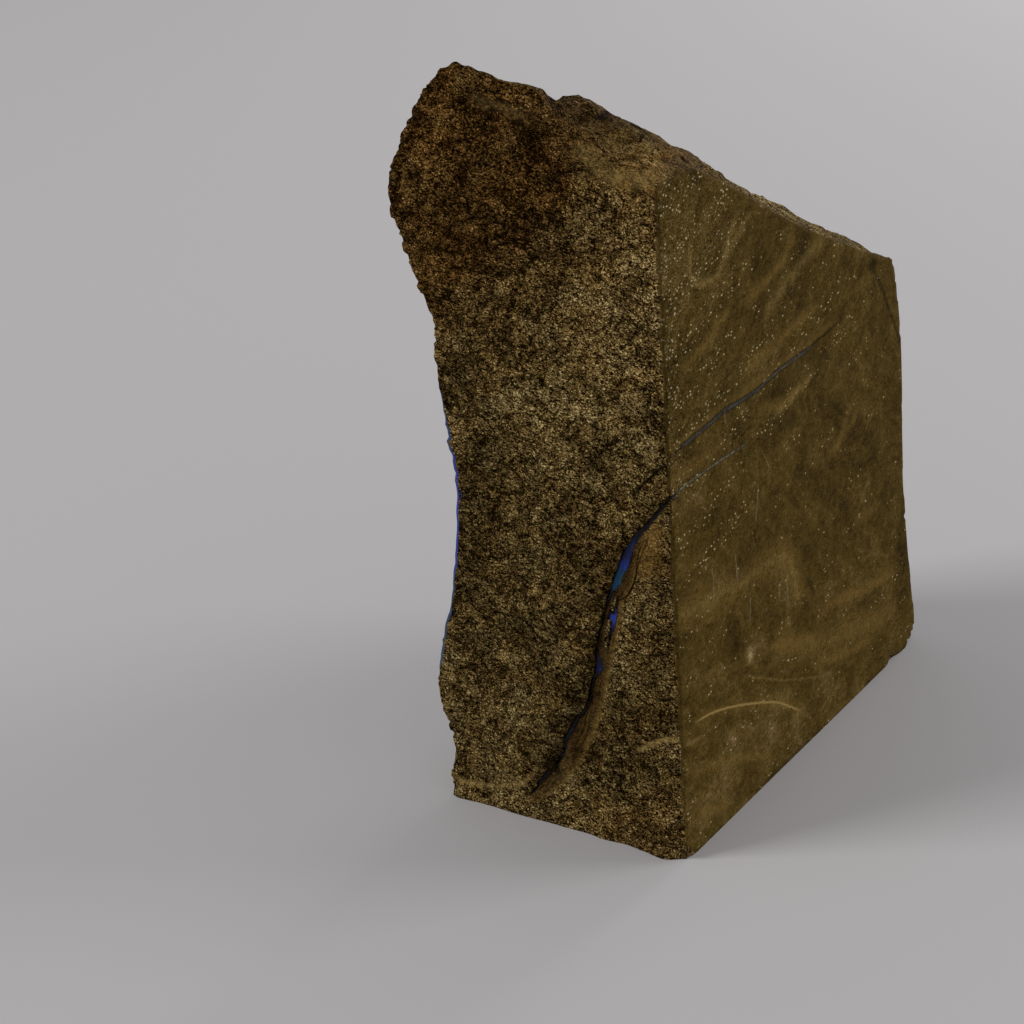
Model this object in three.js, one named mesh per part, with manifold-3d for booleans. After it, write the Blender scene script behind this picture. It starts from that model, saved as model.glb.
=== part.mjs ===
// Rough boulder opal: a block of brown ironstone with a fissure of precious opal.
// Millimetres, +Z up. The broken front faces -Y, the sawn side faces +X, the split side faces -X.
// The outline points below are measured from the foot of the front sawn corner, with x to the right
// along the front, y into the depth and z up. The finished group is then moved so that its origin is
// the centre of the block's foot.

import * as THREE from "three";
import { mergeVertices } from "three/addons/utils/BufferGeometryUtils.js";
import { ImprovedNoise } from "three/addons/math/ImprovedNoise.js";
import Module from "manifold-3d";

// Driving sizes of the block
const FRONT_WIDTH = 40.4;
const SAWN_LEAN = 0.0742;
const SAWN_SPLAY = 0.02;
const SAWN_FOOT_DEPTH = 82;
const SAWN_TOP_FRONT_HEIGHT = 100;
const LEFT_FOOT_DEPTH = 78;

// Number of cells across the width, the depth and the height of the rough faces
const CELLS_WIDE = 22;
const CELLS_DEEP = 26;
const CELLS_HIGH = 40;

// Relief of the broken rock
const LUMP_SIZE = 13;
const LUMP_HEIGHT = 0.9;
const KNOB_SIZE = 5;
const KNOB_HEIGHT = 0.4;
const EDGE_FADE = 5;

// Opal in the fissure and on the split side
const SEAM_DEPTH = 2.2;
const SKIN_THICKNESS = 1.0;
const CLEARANCE = 0.3;

// The left outline of the broken front, as x at each height
const leftOutline = [
  [0, -40.4], [3, -40.6], [8.5, -39.2], [12, -39.9], [17, -41.9], [23, -42.1], [28, -41.1],
  [33, -39.9], [42, -38.9], [52, -38.8], [59, -40.2], [68, -41.9], [76, -42.6], [81, -43.6],
  [86, -45.7], [91, -47.4], [95.3, -48.1], [98.6, -47.6], [102.2, -46.1], [105.8, -44.3], [109.6, -42.4],
];

// The top edge of the broken front, from the left shoulder over the peak and the notch to the bevel
const frontTopEdge = [
  [-42.4, 109.6], [-40, 112.8], [-36.9, 114.6], [-33.3, 113.6], [-28.6, 112.6], [-24.9, 112.1],
  [-23.4, 110], [-21.6, 107], [-18.4, 103.4], [-15.2, 101.5], [-11.4, 100.7], [-7.4, 100],
];

// The outline of the sawn side, as depth and height
const sawnTopEdge = [
  [0, 100], [4.4, 100.5], [9.7, 100.2], [16.2, 97.7], [22.9, 94.4], [37.2, 87.1], [48.5, 81.7],
  [61.9, 75.8], [70.8, 72.2], [79.2, 69.4],
];
const sawnBackEdge = [
  [82, 0], [86, 2.4], [85.2, 9.5], [83.5, 19.2], [82.2, 30.5], [82.1, 53], [81, 61.9], [79.2, 69.4],
];

// The top edge of the split side and of the back, which the skin rolls over
const leftTopEdge = [
  [-3.5, 109.6], [3, 106], [10, 100.5], [20, 93.5], [32, 86], [44, 78], [56, 70.5], [66, 64], [73, 58],
];
const backTopEdge = [[-37, 58], [-30, 61.5], [-22, 65], [-14, 67.5], [-3.6, 69.4]];

// Heights of the natural skin on the top, in rows from the front to the back. Each row gives its place
// along the depth, then its heights at TOP_COLUMNS, which run from the split side to the sawn side.
const TOP_COLUMNS = [0.25, 0.5, 0.75, 0.88];
const topSkin = [
  [0.082, [109, 110.1, 107, 104.7]],
  [0.195, [101.2, 104.4, 102.2, 101.5]],
  [0.37, [91, 94.3, 94.2, 94]],
  [0.56, [80.5, 84.6, 87.3, 85.6]],
  [0.755, [71, 75.7, 79.3, 79.1]],
  [0.88, [64, 69.2, 73.9, 74.9]],
];

// The fissure on the broken front, as x, height and half width, and on the sawn side, as depth,
// height and half width
const frontSeam = [
  [1.5, 57.8, 0.3], [-4.2, 56, 0.35], [-7.3, 52.4, 0.4], [-9.6, 49.5, 0.4], [-11, 46.7, 0.45],
  [-11.9, 43.9, 0.5], [-12.8, 41.4, 0.5], [-13.9, 39.3, 0.5], [-14.5, 36.8, 0.6], [-14.8, 33.9, 0.5],
  [-15, 30.6, 0.45], [-15.3, 27.7, 0.75], [-15.8, 24, 0.5], [-17, 20.6, 0.45], [-18.8, 17.8, 0.4],
  [-20.3, 15.5, 0.45], [-21.6, 12.6, 0.5], [-23.2, 9.4, 0.45], [-25, 6, 0.35],
];
const sawnSeam = [
  [-2.5, 55.9, 0.35], [2.7, 56.2, 0.3], [7.9, 56.4, 0.3], [12.7, 56.5, 0.3], [17.9, 56.6, 0.28],
  [23.5, 56.7, 0.25], [29, 57, 0.2],
];

// The outline of the opal layer on the split side, as depth and height
const skinOutline = [
  [-6, 24], [-6, 66], [4, 69], [12, 67], [20, 70], [30, 66], [38, 60], [47, 59.5], [55, 52],
  [62, 43], [60, 33], [52, 27], [43, 24.5], [34, 17], [24, 14], [14, 18], [6, 17],
];

const noise = new ImprovedNoise();

function clamp01(value) {
  return Math.min(1, Math.max(0, value));
}

function smooth(low, high, value) {
  const t = clamp01((value - low) / (high - low));
  return t * t * (3 - 2 * t);
}

function mix(a, b, t) {
  return a + (b - a) * t;
}

// A smooth curve through points given as [place, value], read at a place
function profile(points) {
  return (place) => {
    const last = points.length - 1;
    let i = 0;
    while (i < last - 1 && place > points[i + 1][0]) i += 1;
    const before = points[Math.max(0, i - 1)];
    const start = points[i];
    const end = points[i + 1];
    const after = points[Math.min(last, i + 2)];
    const t = clamp01((place - start[0]) / (end[0] - start[0]));
    const step = end[0] - start[0];
    const startSlope = ((end[1] - before[1]) / (end[0] - before[0])) * step;
    const endSlope = ((after[1] - start[1]) / (after[0] - start[0])) * step;
    const t2 = t * t;
    const t3 = t2 * t;
    return (2 * t3 - 3 * t2 + 1) * start[1] + (t3 - 2 * t2 + t) * startSlope
      + (3 * t2 - 2 * t3) * end[1] + (t3 - t2) * endSlope;
  };
}

// Rolling lumps with smaller knobs on them, up to about one high
function rock(x, y, z, seed) {
  const lumps = noise.noise(x / LUMP_SIZE, y / LUMP_SIZE + seed, z / LUMP_SIZE);
  const knobs = noise.noise(x / KNOB_SIZE + seed, y / KNOB_SIZE, z / KNOB_SIZE + seed);
  return lumps * LUMP_HEIGHT + knobs * KNOB_HEIGHT;
}

// Low ledges, as where rock has broken along its layers
function ledges(a, b, size, height, step, seed) {
  const level = (noise.noise(a / size, b / size, seed) * height) / step;
  const floor = Math.floor(level);
  return (floor + smooth(0.35, 0.65, level - floor)) * step;
}

// Height of a rounded bump or hollow that is long in one direction
function bump(x, z, centreX, centreZ, length, width, angle) {
  const dx = x - centreX;
  const dz = z - centreZ;
  const along = dx * Math.cos(angle) + dz * Math.sin(angle);
  const across = dz * Math.cos(angle) - dx * Math.sin(angle);
  return Math.exp(-(along * along) / (length * length) - (across * across) / (width * width));
}

function sawnX(y, z) {
  return SAWN_SPLAY * y - SAWN_LEAN * z;
}

// Signed distance from a line through two points, positive to the left of its direction
function sideOfLine(x, z, fromX, fromZ, toX, toZ) {
  const length = Math.hypot(toX - fromX, toZ - fromZ);
  return ((toX - fromX) * (z - fromZ) - (toZ - fromZ) * (x - fromX)) / length;
}

// Distance to the fissure on the front, positive on its right, with the height along it
function seamOffset(x, z) {
  let best = { distance: 1e9, side: 1 };
  for (let i = 1; i < frontSeam.length; i += 1) {
    const [ax, az] = frontSeam[i - 1];
    const [bx, bz] = frontSeam[i];
    const length2 = (bx - ax) ** 2 + (bz - az) ** 2;
    const t = clamp01(((x - ax) * (bx - ax) + (z - az) * (bz - az)) / length2);
    const distance = Math.hypot(x - mix(ax, bx, t), z - mix(az, bz, t));
    if (distance < best.distance) {
      best = { distance, side: sideOfLine(x, z, ax, az, bx, bz) > 0 ? 1 : -1 };
    }
  }
  return best.distance * best.side;
}

// The broken front, as depth at each x and height
function frontY(x, z) {
  const fade = smooth(0, EDGE_FADE, sawnX(0, z) - x);
  const footFade = smooth(-2, EDGE_FADE, z);

  // The dark upper left corner leans forward above a slanting crease
  const aboveCrease = Math.max(0, sideOfLine(x, z, -44, 73, -19, 100));
  const lean = 4 * (1 - Math.exp(-aboveCrease / 18));
  const crease = 0.4 * Math.exp(-((sideOfLine(x, z, -44, 73, -19, 100) / 3) ** 2));

  // Hollows under the top ledge and the bright ledge itself
  const ledge = 1.2 * bump(x, z, -31, 109, 5, 1.6, -0.2);
  const hollows = 2 * bump(x, z, -31.5, 105.8, 4, 2.4, -0.5) + 1.6 * bump(x, z, -25.5, 103, 4, 3, -0.7)
    + 1.2 * bump(x, z, -24, 97.5, 3, 2.6, 0.4);

  // The strip right of the fissure is sunken and smooth, and the rock left of it swells
  const offset = seamOffset(x, z);
  const nearSeam = smooth(2, 10, z) * smooth(54, 44, z);
  const sunken = 0.8 * nearSeam * smooth(-0.6, 0.2, offset) * smooth(2.8, 1.4, offset);
  const swell = 1.1 * nearSeam * Math.exp(-(((offset + 5) / 4) ** 2));

  // Curved ridges low on the left
  const ringDistance = Math.hypot(x + 14, (z - 34) * 0.8);
  const ridges = 0.35 * Math.sin(ringDistance * 1.25) * smooth(12, 18, ringDistance)
    * smooth(46, 30, z) * smooth(-10, -20, x);

  // The foot spreads forward near the sawn corner
  const toe = 2.2 * bump(x, z, -7, 0, 6, 6, 0);

  const relief = rock(x, 0, z, 3.7) * (1 - 0.7 * nearSeam * smooth(3, 1, Math.abs(offset - 1)));
  const outward = relief + ledge - hollows - crease + swell - sunken + ridges;
  return -lean * fade - outward * fade * mix(0.4, 1, footFade) - toe * smooth(0, 3, sawnX(0, z) - x);
}

// The split side, as x at each depth and height
const frontLeftX = profile(leftOutline);
function leftX(y, z) {
  const depth = clamp01((y + 4) / 84);
  const backX = -38.5 + 0.03 * (z - 30) + 1.4 * Math.sin(z / 17);
  const base = mix(frontLeftX(z), backX, smooth(0, 0.55, depth));
  const waves = 0.6 * Math.sin(y / 9 + z / 21) + ledges(y + z * 0.4, z - y * 0.3, 17, 2.6, 0.9, 4.4);
  const fade = smooth(0, 8, y + 1) * smooth(82, 76, y);
  return base - (waves + rock(0, y, z, 9.1)) * fade;
}

// The back, as depth at each x and height
const backEdgeY = profile(sawnBackEdge.map(([y, z]) => [z, y]));
function backY(x, z) {
  const inward = clamp01((sawnX(82, z) - x) / 38);
  const crown = 3.2 * Math.sin(Math.PI * inward) ** 0.8;
  const retreat = 8 * inward ** 1.6;
  const fade = smooth(0, 0.12, inward) * smooth(-1, 4, z + 1);
  const steps = ledges(x + z * 0.3, z - x * 0.5, 15, 4.4, 1.4, 7.7);
  return backEdgeY(z) + crown - retreat + (steps + 1.2 * rock(x, 40, z, 5.3)) * fade;
}

// Evenly spaced points on a smooth curve through the given places
function along(points, cells) {
  const curve = new THREE.CatmullRomCurve3(points, false, "centripetal");
  return curve.getSpacedPoints(cells);
}

function points2(list, place) {
  return list.map(([a, b]) => place(a, b));
}

function frontPoint(x, z) {
  return new THREE.Vector3(x, frontY(x, z), z);
}

function sawnPoint(y, z) {
  return new THREE.Vector3(sawnX(y, z), y, z);
}

function leftPoint(y, z) {
  return new THREE.Vector3(leftX(y, z), y, z);
}

function backPoint(x, z) {
  return new THREE.Vector3(x, backY(x, z), z);
}

// The upright edge where the split side meets the front or the back
function leftFrontPoint(z) {
  const x = frontLeftX(z);
  return new THREE.Vector3(x, frontY(x, z), z);
}

function leftBackPoint(z) {
  let y = LEFT_FOOT_DEPTH;
  let x = leftX(y, z);
  for (let i = 0; i < 8; i += 1) {
    y = backY(x, z);
    x = leftX(y, z);
  }
  return new THREE.Vector3(x, y, z);
}

function range(cells) {
  return Array.from({ length: cells + 1 }, (_, i) => i / cells);
}

// The twelve edges of the block
function makeEdges() {
  const high = range(CELLS_HIGH);
  const wide = range(CELLS_WIDE);
  const deep = range(CELLS_DEEP);
  const shoulder = leftFrontPoint(leftOutline.at(-1)[0]);
  const backCornerHeight = backTopEdge[0][1];
  const backLeftCorner = leftBackPoint(backCornerHeight);

  const frontLeft = high.map((t) => leftFrontPoint(t * leftOutline.at(-1)[0]));
  const frontRight = high.map((t) => sawnPoint(0, t * SAWN_TOP_FRONT_HEIGHT));
  const frontTop = along(points2(frontTopEdge, frontPoint), CELLS_WIDE);
  const frontFoot = wide.map((t) => frontPoint(mix(-FRONT_WIDTH, 0, t), 0));

  const sawnTop = along(points2(sawnTopEdge, sawnPoint), CELLS_DEEP);
  const sawnFoot = deep.map((t) => sawnPoint(t * SAWN_FOOT_DEPTH, 0));
  const sawnBack = along(points2(sawnBackEdge, sawnPoint), CELLS_HIGH);

  const backLeft = high.map((t) => leftBackPoint(t * backCornerHeight));
  const leftFoot = deep.map((t) => leftPoint(mix(frontLeft[0].y, backLeft[0].y, t), 0));
  const leftTopPoints = points2(leftTopEdge.slice(1, -1), leftPoint);
  const leftTop = along([shoulder, ...leftTopPoints, backLeftCorner], CELLS_DEEP);
  const backFoot = wide.map((t) => backPoint(mix(backLeft[0].x, sawnFoot.at(-1).x, t), 0));
  const backTopPoints = points2(backTopEdge.slice(1, -1), backPoint);
  const backTop = along([backLeftCorner, ...backTopPoints, sawnTop.at(-1)], CELLS_WIDE);

  // Corners shared by three edges are made exactly alike
  leftFoot[0].copy(frontLeft[0]);
  frontFoot[0].copy(frontLeft[0]);
  frontFoot[CELLS_WIDE].copy(frontRight[0]);
  sawnFoot[0].copy(frontRight[0]);
  leftFoot[CELLS_DEEP].copy(backLeft[0]);
  backFoot[0].copy(backLeft[0]);
  sawnFoot[CELLS_DEEP].copy(sawnBack[0]);
  backFoot[CELLS_WIDE].copy(sawnBack[0]);
  frontTop[0].copy(frontLeft[CELLS_HIGH]);
  leftTop[0].copy(frontLeft[CELLS_HIGH]);
  frontTop[CELLS_WIDE].copy(frontRight[CELLS_HIGH]);
  sawnTop[0].copy(frontRight[CELLS_HIGH]);
  sawnTop[CELLS_DEEP].copy(sawnBack[CELLS_HIGH]);
  backTop[CELLS_WIDE].copy(sawnBack[CELLS_HIGH]);
  leftTop[CELLS_DEEP].copy(backLeft[CELLS_HIGH]);
  backTop[0].copy(backLeft[CELLS_HIGH]);
  return {
    frontLeft, frontRight, frontTop, frontFoot, sawnTop, sawnFoot, sawnBack,
    backLeft, leftFoot, leftTop, backFoot, backTop,
  };
}

// A grid of points blended from its four edges, then set on the face's own surface inside them
function patch(low, high, start, end, settle) {
  const rows = start.length - 1;
  const columns = low.length - 1;
  return range(rows).map((v, j) => range(columns).map((u, i) => {
    if (i === 0) return start[j];
    if (i === columns) return end[j];
    if (j === 0) return low[i];
    if (j === rows) return high[i];
    const point = new THREE.Vector3();
    point.addScaledVector(low[i], 1 - v).addScaledVector(high[i], v);
    point.addScaledVector(start[j], 1 - u).addScaledVector(end[j], u);
    point.addScaledVector(low[0], -(1 - u) * (1 - v)).addScaledVector(low[columns], -u * (1 - v));
    point.addScaledVector(high[0], -(1 - u) * v).addScaledVector(high[columns], -u * v);
    return settle(point, u, v);
  }));
}

// The natural skin on the top, blended through the heights of topSkin and the four edges around it
function settleTop(edges) {
  const rows = [0, ...topSkin.map(([v]) => v), 1];
  return (point, u, v) => {
    const heights = rows.map((row, j) => {
      if (j === 0) return heightAt(edges.frontTop, u);
      if (j === rows.length - 1) return heightAt(edges.backTop, u);
      const inner = topSkin[j - 1][1].map((height, i) => [TOP_COLUMNS[i], height]);
      const across = [[0, heightAt(edges.leftTop, row)], ...inner, [1, heightAt(edges.sawnTop, row)]];
      return profile(across)(u);
    });
    const fade = Math.min(1, 6 * u, 8 * (1 - u), 12 * v, 8 * (1 - v));
    const steps = ledges(point.x, point.y * 0.7, 11, 2.4, 0.8, 2.2) * smooth(0.1, 0.3, v);
    const lumps = rock(point.x, point.y, 60, 1.9) * 1.2;
    point.z = profile(rows.map((row, j) => [row, heights[j]]))(v);
    point.z += (steps + lumps) * fade * smooth(1.1, 0.6, u);
    return point;
  };
}

// Height part of the way along an edge that is kept as evenly spaced points
function heightAt(edge, t) {
  const place = t * (edge.length - 1);
  const i = Math.min(edge.length - 2, Math.floor(place));
  return mix(edge[i].z, edge[i + 1].z, place - i);
}

function addPatch(triangles, grid, flip) {
  for (let j = 0; j < grid.length - 1; j += 1) {
    for (let i = 0; i < grid[j].length - 1; i += 1) {
      const [a, b, c, d] = [grid[j][i], grid[j][i + 1], grid[j + 1][i + 1], grid[j + 1][i]];
      const first = a.distanceTo(c) <= b.distanceTo(d) ? [[a, b, c], [a, c, d]] : [[a, b, d], [b, c, d]];
      for (const [p, q, r] of first) triangles.push(flip ? [p, r, q] : [p, q, r]);
    }
  }
}

// A flat face inside a closed outline, with one plain rectangle in its middle
function addFlat(triangles, outline, flatten, lift, middle, outward) {
  const isClockwise = THREE.ShapeUtils.isClockWise(outline.map(flatten));
  const ordered = isClockwise ? [...outline].reverse() : outline;
  const points = [...ordered, ...middle.map(([a, b]) => lift(a, b))];
  const hole = middle.map(([a, b]) => new THREE.Vector2(a, b));
  const faces = THREE.ShapeUtils.triangulateShape(ordered.map(flatten), [hole]);
  const count = ordered.length;
  faces.push([count, count + 1, count + 2], [count, count + 2, count + 3]);
  const normal = new THREE.Vector3();
  for (const face of faces) {
    const [p, q, r] = face.map((index) => points[index]);
    normal.crossVectors(q.clone().sub(p), r.clone().sub(p));
    triangles.push(normal.dot(outward) > 0 ? [p, q, r] : [p, r, q]);
  }
}

function blockTriangles() {
  const e = makeEdges();
  const triangles = [];
  const front = patch(e.frontFoot, e.frontTop, e.frontLeft, e.frontRight, (p) => frontPoint(p.x, p.z));
  const left = patch(e.leftFoot, e.leftTop, e.frontLeft, e.backLeft, (p) => leftPoint(p.y, p.z));
  const back = patch(e.backFoot, e.backTop, e.backLeft, e.sawnBack, (p) => backPoint(p.x, p.z));
  const top = patch(e.frontTop, e.backTop, e.leftTop, e.sawnTop, settleTop(e));
  addPatch(triangles, front, false);
  addPatch(triangles, left, true);
  addPatch(triangles, back, true);
  addPatch(triangles, top, false);

  const down = new THREE.Vector3(0, 0, -1);
  const foot = [
    ...e.frontFoot, ...e.sawnFoot.slice(1), ...[...e.backFoot].reverse().slice(1),
    ...[...e.leftFoot].reverse().slice(1, -1),
  ];
  const footMiddle = [[-32, 8], [-8, 8], [-8, 70], [-32, 70]];
  addFlat(triangles, foot, (p) => new THREE.Vector2(p.x, p.y), (x, y) => new THREE.Vector3(x, y, 0),
    footMiddle, down);

  const right = new THREE.Vector3(1, 0, SAWN_LEAN);
  const sawn = [
    ...e.sawnFoot, ...e.sawnBack.slice(1), ...[...e.sawnTop].reverse().slice(1),
    ...[...e.frontRight].reverse().slice(1, -1),
  ];
  const sawnMiddle = [[34, 8], [76, 8], [76, 52], [34, 52]];
  addFlat(triangles, sawn, (p) => new THREE.Vector2(p.y, p.z), sawnPoint, sawnMiddle, right);
  return triangles;
}

function geometryFrom(triangles) {
  const positions = triangles.flat().flatMap((p) => [p.x, p.y, p.z]);
  const geometry = new THREE.BufferGeometry();
  geometry.setAttribute("position", new THREE.Float32BufferAttribute(positions, 3));
  return mergeVertices(geometry, 1e-4);
}

const wasm = await Module();
wasm.setup();

function solid(geometry) {
  const plain = geometry.clone();
  plain.deleteAttribute("normal");
  plain.deleteAttribute("uv");
  const merged = mergeVertices(plain, 1e-4);
  const mesh = new wasm.Mesh({
    numProp: 3,
    vertProperties: new Float32Array(merged.attributes.position.array),
    triVerts: new Uint32Array(merged.index.array),
  });
  return new wasm.Manifold(mesh);
}

function geometryOf(manifold) {
  const mesh = manifold.getMesh();
  const geometry = new THREE.BufferGeometry();
  geometry.setAttribute("position", new THREE.BufferAttribute(new Float32Array(mesh.vertProperties), 3));
  geometry.setIndex(new THREE.BufferAttribute(new Uint32Array(mesh.triVerts), 1));
  geometry.computeVertexNormals();
  return geometry;
}

// A ribbon of rock along a path on a face: stands out of the face by a little and reaches into it
function ribbon(path, place, sideways, inward, extraWidth, depth) {
  const stations = path.map(([a, b, halfWidth], i) => {
    const before = path[Math.max(0, i - 1)];
    const after = path[Math.min(path.length - 1, i + 1)];
    const run = new THREE.Vector2(after[0] - before[0], after[1] - before[1]).normalize();
    const across = sideways(-run.y, run.x).multiplyScalar(halfWidth + extraWidth);
    const centre = place(a, b);
    const outer = centre.clone().addScaledVector(inward, -3);
    const inner = centre.clone().addScaledVector(inward, depth);
    return [
      outer.clone().sub(across), outer.clone().add(across),
      inner.clone().add(across), inner.clone().sub(across),
    ];
  });
  const triangles = [];
  for (let i = 1; i < stations.length; i += 1) {
    for (let k = 0; k < 4; k += 1) {
      const n = (k + 1) % 4;
      const [a, b, c, d] = [stations[i - 1][k], stations[i - 1][n], stations[i][n], stations[i][k]];
      triangles.push([a, b, c], [a, c, d]);
    }
  }
  const [first, last] = [stations[0], stations.at(-1)];
  triangles.push([first[0], first[2], first[1]], [first[0], first[3], first[2]]);
  triangles.push([last[0], last[1], last[2]], [last[0], last[2], last[3]]);
  const made = solid(geometryFrom(triangles));
  return made.volume() > 0 ? made : solid(geometryFrom(triangles.map(([p, q, r]) => [p, r, q])));
}

function seamTool(extraWidth, depth) {
  const intoFront = new THREE.Vector3(0, 1, 0);
  const intoSawn = new THREE.Vector3(-1, 0, -SAWN_LEAN).normalize();
  const onFront = ribbon(frontSeam, frontPoint, (a, b) => new THREE.Vector3(a, 0, b), intoFront,
    extraWidth, depth);
  const onSawn = ribbon(sawnSeam, sawnPoint, (a, b) => new THREE.Vector3(0, a, b), intoSawn,
    extraWidth, depth);
  return onFront.add(onSawn);
}

// Everything within a given depth of the split side and inside the opal layer's outline
function skinTool(depth, growth) {
  const shape = new THREE.Shape();
  const centre = new THREE.Vector2();
  for (const [y, z] of skinOutline) centre.add(new THREE.Vector2(y, z));
  centre.divideScalar(skinOutline.length);
  skinOutline.forEach(([y, z], i) => {
    const point = new THREE.Vector2(y, z);
    point.addScaledVector(point.clone().sub(centre).normalize(), growth);
    if (i === 0) shape.moveTo(point.x, point.y);
    else shape.lineTo(point.x, point.y);
  });
  shape.closePath();
  const slab = new THREE.ExtrudeGeometry(shape, { depth: 60, bevelEnabled: false });
  slab.applyMatrix4(new THREE.Matrix4().set(0, 0, 1, -80, 1, 0, 0, 0, 0, 1, 0, 0, 0, 0, 0, 1));

  const triangles = [];
  const cells = 18;
  const rows = range(cells).map((v) => range(cells).map((u) => {
    const y = mix(-8, 66, u);
    const z = mix(6, 80, v);
    return new THREE.Vector3(leftX(y, z) + depth, y, z);
  }));
  const outside = rows.map((row) => row.map((p) => new THREE.Vector3(-80, p.y, p.z)));
  addPatch(triangles, rows, false);
  addPatch(triangles, outside, true);
  const rim = [
    [rows[0], outside[0], true], [rows[cells], outside[cells], false],
    [rows.map((row) => row[0]), outside.map((row) => row[0]), false],
    [rows.map((row) => row[cells]), outside.map((row) => row[cells]), true],
  ];
  for (const [inner, outer, flip] of rim) addPatch(triangles, [inner, outer], flip);
  const sheet = solid(geometryFrom(triangles));
  return solid(slab).intersect(sheet);
}

function makePieces() {
  const block = solid(geometryFrom(blockTriangles()));
  const groove = seamTool(CLEARANCE, SEAM_DEPTH + CLEARANCE);
  const recess = skinTool(SKIN_THICKNESS + CLEARANCE, CLEARANCE);
  return {
    ironstone: block.subtract(groove).subtract(recess),
    opal_seam: block.intersect(seamTool(0, SEAM_DEPTH)),
    opal_skin: block.intersect(skinTool(SKIN_THICKNESS, 0)),
  };
}

const finishes = {
  ironstone: new THREE.MeshStandardMaterial({ color: "#5c4a2b", roughness: 0.85, metalness: 0 }),
  opal_seam: new THREE.MeshStandardMaterial({ color: "#1f3fa0", roughness: 0.25, metalness: 0 }),
  opal_skin: new THREE.MeshStandardMaterial({ color: "#3a5f9e", roughness: 0.25, metalness: 0 }),
};

const group = new THREE.Group();
for (const [name, piece] of Object.entries(makePieces())) {
  const mesh = new THREE.Mesh(geometryOf(piece), finishes[name]);
  mesh.name = name;
  group.add(mesh);
}

// The origin goes to the centre of the block's foot
const box = new THREE.Box3().setFromObject(group);
const middle = box.getCenter(new THREE.Vector3());
for (const mesh of group.children) mesh.geometry.translate(-middle.x, -middle.y, -box.min.z);

export default group;
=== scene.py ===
import math

import bmesh
import bpy
import numpy as np
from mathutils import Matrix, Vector
from mathutils.bvhtree import BVHTree


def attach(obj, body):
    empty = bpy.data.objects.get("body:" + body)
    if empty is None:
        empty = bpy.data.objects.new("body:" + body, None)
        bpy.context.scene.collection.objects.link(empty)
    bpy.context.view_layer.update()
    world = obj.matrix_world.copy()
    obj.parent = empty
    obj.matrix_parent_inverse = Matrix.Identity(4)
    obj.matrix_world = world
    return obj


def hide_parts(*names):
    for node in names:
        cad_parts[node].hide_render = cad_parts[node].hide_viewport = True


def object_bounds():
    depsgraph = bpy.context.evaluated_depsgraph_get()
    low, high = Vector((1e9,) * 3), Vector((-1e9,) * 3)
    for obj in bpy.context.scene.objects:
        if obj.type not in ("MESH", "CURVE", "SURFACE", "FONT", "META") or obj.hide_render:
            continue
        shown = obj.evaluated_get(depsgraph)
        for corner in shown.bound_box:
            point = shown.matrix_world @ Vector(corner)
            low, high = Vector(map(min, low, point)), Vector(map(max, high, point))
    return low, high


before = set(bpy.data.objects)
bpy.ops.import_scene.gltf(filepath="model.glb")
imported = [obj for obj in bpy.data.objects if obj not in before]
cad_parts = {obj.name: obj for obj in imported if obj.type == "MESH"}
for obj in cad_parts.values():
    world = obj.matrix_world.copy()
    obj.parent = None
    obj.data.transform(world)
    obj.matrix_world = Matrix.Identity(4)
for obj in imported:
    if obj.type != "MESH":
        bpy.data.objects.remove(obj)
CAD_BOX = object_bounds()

bl_info = {
    "name": "Rough Boulder Opal",
    "version": (1, 0, 0),
    "blender": (4, 5, 0),
    "location": "View3D > Sidebar > Boulder Opal",
    "description": "Dresses the packed block as a sawn and split boulder opal",
    "category": "Object",
}

BODY = "root"

# All drawn places are in millimetres from the foot of the sawn corner at the front: x is negative towards
# the split side, y runs to the back along the sawn side, and z goes up.
MM = 0.001
CORNER = np.array((23.2264, -42.8223, 0.0))

# The sawn side: how far it leans in for each millimetre up, turns out for each one back, and where it faces
SAWN_LEAN = 0.0742
SAWN_SPLAY = 0.02
SAWN_NORMAL = np.array((0.997, -0.0199, 0.074))

# Places less than this far inside the sawn plane are on the sawn side
ON_SAWN = -0.12
# How deep the broken front reaches, and where beside the fissure the mesh is made finer, step by step
FRONT_REACH = 14.0
FINER_REACHES = (4.0, 1.7, 0.45)
# How far the opal's solids are grown so that they fill their grooves in the rock
GROOVE_FILL = 0.45
# The level of the relief's noise that leaves the rock where it is
RELIEF_LEVEL = 0.53
RELIEF_SEED = 4.0
WANDER_SEED = 11

# The rock's finished surface before the fissure is opened, which the opal is laid on
SURFACE = {}

# The camera's place in millimetres and turn in degrees in the row frame, and half of its angle of view
CAMERA_PLACE = (163.18, -346.76, 196.90)
CAMERA_TURN = (67.0, 0.0, 29.12)
CAMERA_HALF_ANGLE = 11.0
CAMERA_SENSOR = 36.0

# The stage in metres: the floor, and each light's place and what it is aimed at
FLOOR_RADIUS = 4.0
LIGHTS = {
    "key": ((-0.85, -0.85, 1.1), (0.0, 0.0, 0.05)),
    "back": ((1.0, 0.9, 0.8), (0.25, 0.45, 0.0)),
    "backdrop": ((0.05, 1.0, 0.45), (-0.12, 0.6, 0.0)),
}

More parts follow.
